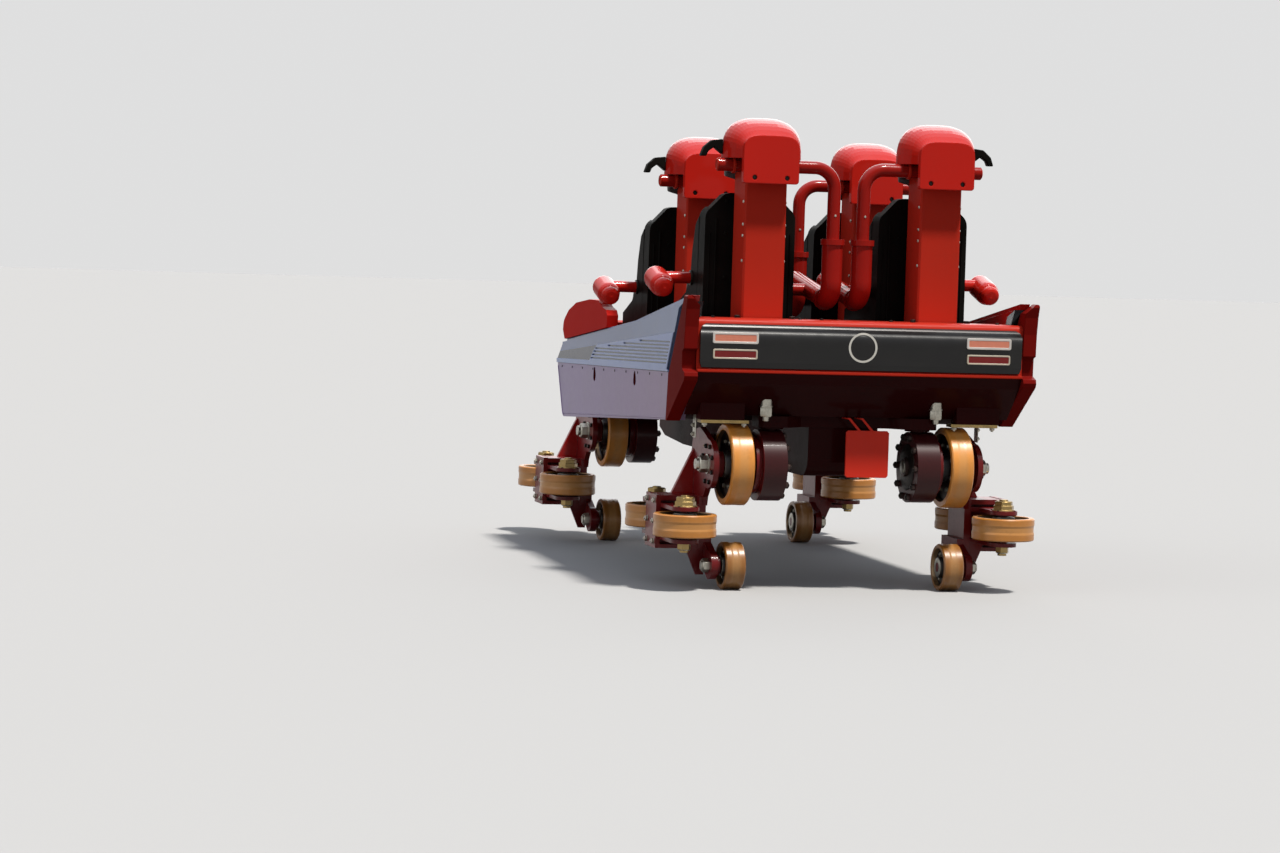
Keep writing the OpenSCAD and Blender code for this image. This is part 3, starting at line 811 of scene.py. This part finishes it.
def plate(bm, lo, hi, r=0.004):
    """Flat plate with cut corners, lying level."""
    x0, y0, z0 = lo
    x1, y1, z1 = hi
    outline = [(x0 + r, y0), (x1 - r, y0), (x1, y0 + r), (x1, y1 - r), (x1 - r, y1), (x0 + r, y1),
               (x0, y1 - r), (x0, y0 + r)]
    a = [bm.verts.new((x, y, z0)) for x, y in outline]
    b = [bm.verts.new((x, y, z1)) for x, y in outline]
    bm.faces.new(a[::-1])
    bm.faces.new(b)
    for i in range(8):
        j = (i + 1) % 8
        bm.faces.new((a[i], a[j], b[j], b[i]))


def side_plate(bm, s, x0, x1, y0, y1, z0, z1):
    """A plate on the side that s names, between two distances from the middle."""
    plate(bm, at(min(s * x0, s * x1), y0, z0), at(max(s * x0, s * x1), y1, z1))


# Bolts on the deck, and under it the bolts, pads and brackets of the rear housings
UP = (0, 0, 1)
DOWN = (0, 0, -1)
REAR = (0, -1, 0)
car_zinc = bmesh.new()
car_gold = bmesh.new()
car_dark = bmesh.new()
car_red = bmesh.new()
for s in (-1, 1):
    for dx in (-0.125, 0.125):
        nut(car_dark, at(s * (SEAT_X + dx), 0.115, 0.830), UP, 0.022, 0.010, washer=0.016)
    for x in (0.16, 0.26, 0.655):
        nut(car_dark, at(s * x, 0.060, 0.830), UP, 0.014, 0.006, washer=0.010)
    disc(car_zinc, 0.026, 0.030, at(s * 0.392, 0.085, 0.446), UP, 28)
    nut(car_zinc, at(s * 0.392, 0.085, 0.447), DOWN, 0.050, 0.042, 0.3, 0.020, 0.030)
    side_plate(car_gold, s, 0.466, 0.685, 0.084, 0.160, 0.3665, 0.3806)
    for x in (0.486, 0.665):
        nut(car_zinc, at(s * x, 0.104, 0.3664), DOWN, 0.022, 0.010, 0.4, 0.006, 0.015)
    side_plate(car_zinc, s, 0.655, 0.662, 0.275, 0.320, 0.290, SILL)
    side_plate(car_zinc, s, 0.640, 0.690, 0.270, 0.325, 0.3935, SILL + 0.0001)
    for z in (0.305, 0.345):
        nut(car_zinc, at(s * 0.6622, 0.297, z), (s, 0, 0), 0.016, 0.008, 0.2, 0.004, 0.011)

# Sills and beams from below: rows of bolts and weld beads
for tag, s in SIDES.items():
    for i in range(9):
        y = 0.62 + 0.20 * i
        if y < NOSE - 0.1:
            for x in (0.300, 0.620):
                nut(car_dark, at(s * x, y, SILL), DOWN, 0.018, 0.008, washer=0.012)
    weld = [at(s * 0.1605, 0.34 + 0.05 * i, 0.3985) for i in range(41)]
    tube_path("spine_weld_" + tag, weld, 0.004, under_red)

# Pods: trim bead round the purple panel, screws along the seam
BEAD_R = 0.0435
POD_SCREW = [(0, 0), (0.006, 0), (0.0055, 0.0016), (0.003, 0.0022), (0, 0.0022)]
bead = [(0.2375, 0.572), (0.258, 0.380), (0.263, 0.3765), (2.312, 0.2795)]
for i in range(7):
    a = math.radians(268 + 67 * i / 6)
    bead.append((NOSE - 0.082 + BEAD_R * math.cos(a), 0.316 + BEAD_R * math.sin(a)))
bead.append((NOSE + 0.0765, 0.508))
for tag, s in SIDES.items():
    line = [at(s * (POD_X + 0.0003), y, z) for y, z in bead]
    tube_path("pod_bead_" + tag, line, 0.0025, purple)
    for i in range(10):
        y = 0.36 + 0.225 * i
        z = 0.582 + (0.582 - 0.522) / (0.222 - NOSE - 0.096) * (y - 0.222) - 0.016
        lathe(car_dark, POD_SCREW, at(s * POD_X, y, z), (s, 0, 0), 14)

# Nose: a row of bolts across the panel
for x in (-0.60, -0.36, -0.12, 0.12, 0.36, 0.60):
    nut(car_dark, at(x, NOSE + 0.0665, 0.455), (0, 1, -0.24), 0.018, 0.008, washer=0.012)

# Posts, headrests and tubes
HEAD_RING = [(0, 0.0012), (0.014, 0.0012), (0.0158, 0.0034), (0.0174, 0.0034), (0.0182, -0.002), (0, -0.002)]
POST_SCREW = [(0, 0), (0.0075, 0), (0.0070, 0.003), (0.0045, 0.005), (0, 0.0055)]
STUB_CAP = [(0, 0), (0.0265, 0), (0.0265, 0.003), (0.022, 0.006), (0.020, 0.006), (0.019, 0.004), (0, 0.004)]
TUBE_COLLAR = [(0.0285, -0.006), (0.036, -0.006), (0.0375, -0.0045), (0.0375, 0.0045), (0.036, 0.006),
               (0.0285, 0.006)]
CLAMP_SCREW = [(0, -0.001), (0.005, -0.001), (0.005, 0.002), (0.003, 0.003), (0, 0.003)]
ARM_STUD = [(0.0265, 0), (0.034, 0), (0.034, 0.006), (0.0265, 0.008)]
for k, (s, dy, dz) in SEATS.items():
    outward = (s, 0, 0)
    shell_side = SEAT_X + SHELL_W / 2
    for dx in (-0.074, 0.074):
        x = s * (SEAT_X + dx)
        lathe(car_dark, HEAD_RING, at(x, 0.097 + dy, 1.446 + dz), REAR, 28)
        nut(car_dark, at(x, 0.0962 + dy, 1.446 + dz), REAR, 0.013, 0.004)
    for z in (1.34, 1.24, 1.19, 1.08):
        lathe(car_zinc, POST_SCREW, at(s * 0.500, 0.175 + dy, z + dz), outward, 18)
        lathe(car_zinc, POST_SCREW, at(s * 0.310, 0.175 + dy, z + dz), (-s, 0, 0), 18)
    # end cap of the stub, collars at the post and the clamp screw above the sleeve
    lathe(car_red, STUB_CAP, at(s * (shell_side - 0.0062), TUBE[0] + dy, TUBE[1] + dz), outward, 32)
    for x in (0.272, 0.538):
        lathe(car_red, TUBE_COLLAR, at(s * x, TUBE[0] + dy, TUBE[1] + dz), (1, 0, 0), 32)
    lathe(car_zinc, CLAMP_SCREW, at(s * 0.069, 0.2062 + dy, 1.29 + dz), REAR, 14)
    # pivot nuts of the lap bar
    for way in (1, -1):
        pivot = at(s * SEAT_X + way * 0.0862, PIVOT[0] + dy, PIVOT[1] + dz)
        nut(car_zinc, pivot, (way, 0, 0), 0.030, 0.014, 0.3, 0.004, 0.020)
    # stud that holds the outer armrest
    lathe(car_dark, ARM_STUD, at(s * (shell_side + 0.0005), 0.612 + dy, 0.992 + dz), outward, 28)
finish_mesh(car_zinc, "car_bolts", zinc, "car", True, 0.0005, 30)
finish_mesh(car_gold, "wheel_pads", brass_zinc, "car", True, 0.0008, 30)
finish_mesh(car_dark, "car_screws", black_steel, "car", True, 0.0005, 30)
finish_mesh(car_red, "tube_collars", red, "car", True, 0.0005, 30)

# Lap bars: grips, end caps of the roller
ROLLER_CAP = [(0, -0.0005), (0.040, -0.0005), (0.040, 0.003), (0.034, 0.0065), (0.012, 0.0065),
              (0.010, 0.004), (0, 0.004)]
GRIP = ((0.834, 1.030), (0.852, 1.070), (0.885, 1.081), (0.911, 1.061), (0.900, 1.012), (0.872, 0.964))
for k, (s, dy, dz) in SEATS.items():
    body = "lap_" + k
    bm = bmesh.new()
    for way in (-1, 1):
        c = at(s * SEAT_X + way * 0.165, ROLLER[0] + dy, ROLLER[1] + dz)
        lathe(bm, ROLLER_CAP, c, (way, 0, 0), 32)
        nut(bm, c + Vector((way * 0.004, 0, 0)), (way, 0, 0), 0.013, 0.006)
    finish_mesh(bm, "lap_caps_" + k, black_steel, body, True, 0.0006, 30)
    for way, tag in ((-1, "i"), (1, "o")):
        pts = curve_points([at(s * SEAT_X + way * 0.092, y + dy, z + dz) for y, z in GRIP], 30)
        bm = bmesh.new()
        tube_into(bm, pts, 0.0165, 14, ripple=0.0012)
        finish_mesh(bm, "grip_%s_%s" % (k, tag), rubber, body, True, 0.0, 60)

# Shells: pressed ribs on the rear face and small screws
SHELL_BACK = 0.3990
SHELL_SCREW = [(0, 0), (0.009, 0), (0.008, 0.003), (0.004, 0.004), (0, 0.004)]
for k, (s, dy, dz) in SEATS.items():
    bm = bmesh.new()
    middle = s * SEAT_X
    for dx in (-0.158, 0.158):
        for x, z, n, r in ((dx, 0.70, 29, 0.006), (dx * 1.18, 0.74, 24, 0.004)):
            tube_into(bm, [at(middle + x, SHELL_BACK + dy, z + 0.02 * i + dz) for i in range(n)], r, 8)
    for dx in (-0.112, 0.112):
        for z in (0.80, 1.00, 1.20, 1.34):
            lathe(bm, SHELL_SCREW, at(middle + dx, SHELL_BACK + 0.0005 + dy, z + dz), REAR, 14)
    finish_mesh(bm, "shell_ribs_" + k, shell_black, "car", True, 0.0, 40)

# Ribbed mats in the foot wells: front and rear edge, half width and shift to the middle
MATS = {"r": (0.992, 1.150, 0.235, 0.0), "f": (2.030, 2.375, 0.180, 0.02)}
for k, (s, dy, dz) in SEATS.items():
    y0, y1, half, shift = MATS[k[0]]
    bm = bmesh.new()
    c = s * (SEAT_X - shift)
    plate(bm, at(c - half, y0, FLOOR_HI), at(c + half, y1, FLOOR_HI + 0.0035), 0.012)
    rib = half - 0.014
    for i in range(int((y1 - y0 - 0.03) / 0.012)):
        y = y0 + 0.018 + 0.012 * i
        plate(bm, at(c - rib, y, FLOOR_HI + 0.003), at(c + rib, y + 0.005, FLOOR_HI + 0.0055), 0.001)
    finish_mesh(bm, "mat_" + k, mat_rubber, "car", False)

# Bogies: screws, washers and chamfered nuts over the castings
CHEEK_X = 0.6218
AXLE_CAP = [(0, 0), (0.0252, 0), (0.0225, 0.0025), (0.006, 0.0025), (0.004, 0.001), (0, 0.001)]
PIN_CAP = [(0, 0), (0.0202, 0), (0.018, 0.002), (0, 0.002)]
DRUM_RING = [(0.043, 0), (0.104, 0), (0.104, 0.002), (0.100, 0.004), (0.046, 0.006), (0.043, 0.006)]
DRUM_CAP = [(0, 0), (0.030, 0), (0.030, 0.003), (0.024, 0.006), (0, 0.006)]
NIPPLE = [(0, 0), (0.005, 0), (0.005, 0.006), (0.003, 0.009), (0.004, 0.013), (0, 0.015)]
for k, (s, dy) in ENDS.items():
    body = "bogie_" + k
    steel = bmesh.new()
    yellow = bmesh.new()
    dark = bmesh.new()
    out = (s, 0, 0)
    inward = (-s, 0, 0)
    y = dy + ROAD_Y
    collar(steel, 0.0255, 0.036, 0.031, 0.005, at(s * 0.6608, y, ROAD_R), out, 28)
    lathe(steel, AXLE_CAP, at(s * 0.6779, y, ROAD_R), out, 28)
    for i in range(8):
        a = math.pi * i / 4 + 0.39
        place = at(s * CHEEK_X, y + 0.084 * math.cos(a), ROAD_R + 0.084 * math.sin(a))
        nut(dark, place, out, 0.018, 0.009, 0.2, 0.0, 0.012)
    for g in GUIDES.values():
        gx, gy = s * GUIDE_X, dy + GUIDE_FIRST + g
        collar(yellow, 0.0205, 0.040, 0.036, 0.004, at(gx, gy, 0.0355), UP, 28)
        lathe(yellow, PIN_CAP, at(gx, gy, 0.0438), UP, 24)
        collar(steel, 0.0205, 0.028, 0.024, 0.004, at(gx, gy, -0.1918), DOWN, 24)
        collar(dark, 0.020, 0.060, 0.057, 0.003, at(gx, gy, -0.0222), DOWN, 36)
        for i in range(4):
            a = math.pi * i / 2 + 0.785
            place = at(gx + 0.0565 * math.cos(a), gy + 0.0565 * math.sin(a), -0.0041)
            nut(dark, place, UP, 0.008, 0.004, 0.2)
    collar(steel, 0.0205, 0.030, 0.026, 0.004, at(s * 0.6318, y, UP_Z), out, 24)
    face = at(s * 0.2998, y, ROAD_R)
    for i in range(10):
        a = math.radians(36 * i)
        spoke = Vector((-s * 0.0128, 0.138 * math.cos(a), 0.138 * math.sin(a)))
        nut(dark, face + spoke, inward, 0.0255, 0.004, 0.0, 0.004)
    lathe(dark, DRUM_RING, face, inward, 56)
    lathe(steel, DRUM_CAP, at(s * 0.2800, y, ROAD_R), inward, 32)
    for y0 in (0.330, 0.456):
        for z in (-0.176, -0.085, 0.006):
            nut(steel, at(s * 0.8222, dy + y0, z), out, 0.022, 0.010, 0.4, 0.004, 0.0145)
    for y0, z in ((0.300, -0.262), (0.345, -0.236), (0.395, -0.212)):
        nut(steel, at(s * 0.6062, dy + y0, z), out, 0.018, 0.008, 0.3, 0.004, 0.012)
    # weld beads up the bridge
    for x in (0.436, 0.593):
        tube_into(dark, [at(s * x, dy + 0.3755, 0.090 + 0.02 * i) for i in range(10)], 0.0035, 8)
    # grease nipple on the outer cheek
    lathe(yellow, NIPPLE, at(s * CHEEK_X, y + 0.036, 0.2585), out, 14)
    finish_mesh(steel, "bogie_nuts_" + k, zinc, body, True, 0.0005, 30)
    finish_mesh(yellow, "guide_nuts_" + k, brass_zinc, body, True, 0.0006, 30)
    finish_mesh(dark, "bogie_flanges_" + k, black_steel, body, True, 0.0005, 30)


def wheel_fittings(name, body, centre, axis, half, web, pin, cap, ring, count, across):
    """Rings of hub screws and bearing caps, which turn with the wheel."""
    bm = bmesh.new()
    ax = Vector([1.0 if i == axis else 0.0 for i in range(3)])
    grid = basis(ax)
    inner = pin + 0.002
    bearing = [(inner, 0), (cap, 0), (cap, 0.0015), (cap - 0.003, 0.003), (inner, 0.003)]
    for way in (-1, 1):
        n = ax * way
        lathe(bm, bearing, centre + n * (half - 0.0005), n, 40)
        for i in range(count):
            a = 2 * math.pi * (i + 0.5) / count
            spoke = grid @ Vector((ring * math.cos(a), ring * math.sin(a), 0))
            place = centre + spoke + n * (web - 0.0005)
            nut(bm, place, n, across, across * 0.45, washer=across * 0.75)
    finish_mesh(bm, name, zinc, body, True, 0.0004, 30)


for k in ENDS:
    for kind, end, middle in wheels_of(k):
        sizes = WHEELS[kind]
        wheel_fittings("%s_screws_%s" % (kind, end), "%s_%s" % (kind, end), middle, sizes[0], *sizes[4:])

# Pads: the CAD solids of one seat are blown up as cloth, then copied to the others
PAD_VOXEL = 0.008
PAD_PRESSURE = 4.0
PAD_FRAMES = 20
SEAM_W = 0.006
SEAM_DEPTH = 0.005


def limits(verts):
    """The low and high corner of some vertices."""
    return [Vector([pick(v.co[i] for v in verts) for i in range(3)]) for pick in (min, max)]


def evaluated_mesh(obj):
    """A new mesh with the object's modifiers applied."""
    bpy.context.view_layer.update()
    dg = bpy.context.evaluated_depsgraph_get()
    return bpy.data.meshes.new_from_object(obj.evaluated_get(dg))


def solid_near(node, test):
    """A new mesh holding only the solid of a node whose middle passes the test."""
    bm = bmesh.new()
    bm.from_mesh(NODES[node].data)
    bmesh.ops.remove_doubles(bm, verts=bm.verts[:], dist=0.00002)
    seen = set()
    drop = []
    for first in bm.verts:
        if first in seen:
            continue
        seen.add(first)
        group = [first]
        for v in group:
            for e in v.link_edges:
                other = e.other_vert(v)
                if other not in seen:
                    seen.add(other)
                    group.append(other)
        lo, hi = limits(group)
        if not test((lo + hi) / 2, hi - lo):
            drop += group
    bmesh.ops.delete(bm, geom=drop, context="VERTS")
    return bm


def puff(bm, name, shrink, cap):
    """Remesh, blow up as cloth with a capped swell, then subdivide once."""
    lo, hi = limits(bm.verts)
    mid = (lo + hi) / 2
    for v in bm.verts:
        for i in range(3):
            v.co[i] = mid[i] + (v.co[i] - mid[i]) * (1 - 2 * shrink[i] / (hi[i] - lo[i]))
    obj = put(name, mesh_of(bm, name))
    rm = obj.modifiers.new("remesh", "REMESH")
    rm.mode = "VOXEL"
    rm.voxel_size = PAD_VOXEL
    new = evaluated_mesh(obj)
    obj.modifiers.clear()
    obj.data = new
    rest = [v.co.copy() for v in new.vertices]
    cloth = obj.modifiers.new("cloth", "CLOTH")
    cs = cloth.settings
    cs.quality = 4
    cs.mass = 0.4
    cs.tension_stiffness = 12
    cs.compression_stiffness = 12
    cs.bending_stiffness = 0.6
    cs.use_pressure = True
    cs.uniform_pressure_force = PAD_PRESSURE
    cs.effector_weights.gravity = 0
    for f in range(1, PAD_FRAMES + 1):
        bpy.context.scene.frame_set(f)
    dg = bpy.context.evaluated_depsgraph_get()
    blown = obj.evaluated_get(dg).to_mesh()
    moved = [v.co.copy() for v in blown.vertices]
    obj.evaluated_get(dg).to_mesh_clear()
    obj.modifiers.clear()
    for v, r, q in zip(new.vertices, rest, moved):
        d = q - r
        v.co = r + d * min(1.0, cap / max(d.length, 1e-9))
    bpy.context.scene.frame_set(1)
    sm = obj.modifiers.new("smooth", "SMOOTH")
    sm.factor = 0.5
    sm.iterations = 5
    sub = obj.modifiers.new("subdivision", "SUBSURF")
    sub.levels = 1
    sub.render_levels = 1
    done = evaluated_mesh(obj)
    bpy.data.objects.remove(obj)
    return done


def carve(me, face, along, half, lo, hi, across):
    """Sews channels into the face of a pad: two along it, and others across between those two."""
    reach = half - 0.002
    lines = [(0, SEAT_X + side * half, along, lo, hi) for side in (-1, 1)]
    lines += [(along, place, 0, SEAT_X - reach, SEAT_X + reach) for place in across]
    normals = [v.normal.copy() for v in me.vertices]
    for v, n in zip(me.vertices, normals):
        if n.dot(Vector(face)) < 0.25:
            continue
        sink = 0.0
        for axis, place, span, start, end in lines:
            d = abs(v.co[axis] - place)
            if start <= v.co[span] <= end and d < SEAM_W * 3:
                sink = max(sink, math.exp(-(d / SEAM_W) ** 2))
        v.co -= n * SEAM_DEPTH * sink


def seat_copies(me, tag, node):
    """Sets the pad of the right rear seat at all four seats."""
    me.materials.clear()
    me.materials.append(cover)
    for p in me.polygons:
        p.use_smooth = True
    for k, (s, dy, dz) in SEATS.items():
        copy = me.copy()
        if s < 0:
            copy.transform(Matrix.Translation((-2 * SEAT_X, 0, 0)))
        copy.transform(Matrix.Translation((0, dy, dz)))
        obj = put("%s_%s" % (tag, k), copy)
        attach(obj, "car")
        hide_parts(node)


def rear_right(c):
    return c.x > 0 and c.y < at(0, 0.9, 0).y


BODY_SHRINK = (0.004, 0.003, 0.005)
HEAD_SHRINK = (0.004, 0.002, 0.004)
# Each pad: its CAD node, which solid of it, shrink and cap of the swell, and how full it is
PADS = {
    "back_pad": ("cushions", lambda c, d: rear_right(c) and d.z > 0.3, BODY_SHRINK, 0.007, 0.7),
    "seat_pad": ("cushions", lambda c, d: rear_right(c) and d.z < 0.3, BODY_SHRINK, 0.007, 0.7),
    "head_pad": ("head_pads", lambda c, d: rear_right(c) and d.x > 0.2, HEAD_SHRINK, 0.005, 0.8),
}
# Its seams: the face that they are in, their axis, half their distance, both ends and the seams across
SEAMS = {
    "back_pad": ((0, 1, 0), 2, 0.112, 0, 9, [RAIL_Z + z for z in (0.94, 1.04, 1.14, 1.24)]),
    "seat_pad": (UP, 1, 0.112, -9, 9, [TAIL_Y + y for y in (0.66, 0.78)]),
    "head_pad": ((0, 1, 0), 2, 0.085, 0, RAIL_Z + 1.62, [RAIL_Z + 1.455]),
}
made = {}
for tag, pad in PADS.items():
    made[tag] = puff(solid_near(*pad[:2]), tag + "_work", *pad[2:4])
for tag, me in made.items():
    carve(me, *SEAMS[tag])
    seat_copies(me, tag, PADS[tag][0])
STRAP_GUIDE = [(0.1763, 1.545), (0.1763, 1.612), (0.226, 1.606), (0.262, 1.574), (0.274, 1.540),
               (0.274, 1.535), (0.250, 1.535), (0.242, 1.556), (0.215, 1.575)]
for k, (s, dy, dz) in SEATS.items():
    bm = bmesh.new()
    c = at(s * SEAT_X, dy, dz)
    slab(bm, [(c.x + s * x, c.z + z) for x, z in STRAP_GUIDE], c.y + 0.258, c.y + 0.298)
    obj = finish_mesh(bm, "strap_guide_" + k, shell_black, "car", True, 0.005, 50)
    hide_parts("head_pads")

# Stage: floor, three suns, world and camera
FLOOR_PALE = 0.49
FLOOR_BOUNCE = 0.14
FLOOR_HALF = 80.0
WORLD_LIGHT = 0.62
BACKDROP_LIGHT = 2.0
# Each sun: strength, angle in degrees, colour and the way its light goes
SUNS = {
    "key": (3.8, 6.0, (1.0, 0.96, 0.90), (-0.38, 0.56, -1.6)),
    "fill": (0.40, 50.0, (0.94, 0.97, 1.0), (1.0, 0.25, -0.45)),
    "back": (0.7, 50.0, (1.0, 1.0, 1.0), (-0.4, -1.0, -0.5)),
}


def ray_kinds(tree):
    """1 for rays that should see the pale backdrop: from the camera, or by reflection."""
    path = tree.nodes.new("ShaderNodeLightPath")
    out = path.outputs["Is Camera Ray"]
    for kind in ("Is Glossy Ray", "Is Transmission Ray"):
        n = tree.nodes.new("ShaderNodeMath")
        n.operation = "MAXIMUM"
        tree.links.new(out, n.inputs[0])
        tree.links.new(path.outputs[kind], n.inputs[1])
        out = n.outputs[0]
    return out


def stage_floor():
    """A plain pale floor that throws back little light."""
    bm = bmesh.new()
    corners = ((-1, -1), (1, -1), (1, 1), (-1, 1))
    bm.faces.new([bm.verts.new((FLOOR_HALF * x, FLOOR_HALF * y, 0)) for x, y in corners])
    floor = put("floor", mesh_of(bm, "floor"))
    m = Mat("floor_pale")
    m.link(m.mix(ray_kinds(m.t), FLOOR_BOUNCE, FLOOR_PALE), "Base Color")
    m.set(Roughness=1.0, Specular_IOR_Level=0.0)
    floor.data.materials.append(m.m)


stage_floor()
for name, (strength, angle, colour, way) in SUNS.items():
    data = bpy.data.lights.new(name, "SUN")
    data.energy = strength
    data.angle = math.radians(angle)
    data.color = colour
    put(name, data).rotation_euler = Vector(way).to_track_quat("-Z", "Y").to_euler()

scene = bpy.context.scene
world = bpy.data.worlds.new("studio")
scene.world = world
world.use_nodes = True
wt = world.node_tree
direction = wt.nodes.new("ShaderNodeTexCoord")
split = wt.nodes.new("ShaderNodeSeparateXYZ")
wt.links.new(direction.outputs["Generated"], split.inputs[0])


def sky_light(node, strength, stops):
    """A background whose colour changes with the height of the direction."""
    wt.links.new(colour_ramp(wt, split.outputs[2], stops), node.inputs["Color"])
    node.inputs["Strength"].default_value = strength
    return node.outputs[0]


SKY = [(0.0, (0.50, 0.51, 0.53, 1.0)), (1.0, (0.46, 0.52, 0.62, 1.0))]
BACKDROP = [(0.0, (0.37, 0.37, 0.37, 1.0)), (0.40, (0.37, 0.37, 0.375, 1.0)),
            (0.65, (0.44, 0.46, 0.50, 1.0)), (1.0, (0.62, 0.66, 0.74, 1.0))]
mixer = wt.nodes.new("ShaderNodeMixShader")
wt.links.new(ray_kinds(wt), mixer.inputs["Fac"])
wt.links.new(sky_light(wt.nodes["Background"], WORLD_LIGHT, SKY), mixer.inputs[1])
wt.links.new(sky_light(wt.nodes.new("ShaderNodeBackground"), BACKDROP_LIGHT, BACKDROP), mixer.inputs[2])
wt.links.new(mixer.outputs[0], wt.nodes["World Output"].inputs["Surface"])

scene.view_settings.view_transform = "Standard"
cam_data = bpy.data.cameras.new("camera")
cam_data.lens = CAM_LENS
cam_data.sensor_width = 36.0
cam_data.clip_end = 200.0
cam = put("camera", cam_data)
forward = Vector((math.sin(CAM_YAW) * math.cos(CAM_PITCH), math.cos(CAM_YAW) * math.cos(CAM_PITCH),
                  -math.sin(CAM_PITCH)))
right = Vector((math.cos(CAM_YAW), -math.sin(CAM_YAW), 0.0))
down = forward.cross(right)
cr, sr = math.cos(CAM_ROLL), math.sin(CAM_ROLL)
x_axis = right * cr + down * sr
y_axis = -(right * -sr + down * cr)
turned = Matrix((x_axis, y_axis, -forward)).transposed().to_4x4()
cam.matrix_world = Matrix.Translation(CAM_PLACE) @ turned
scene.camera = cam
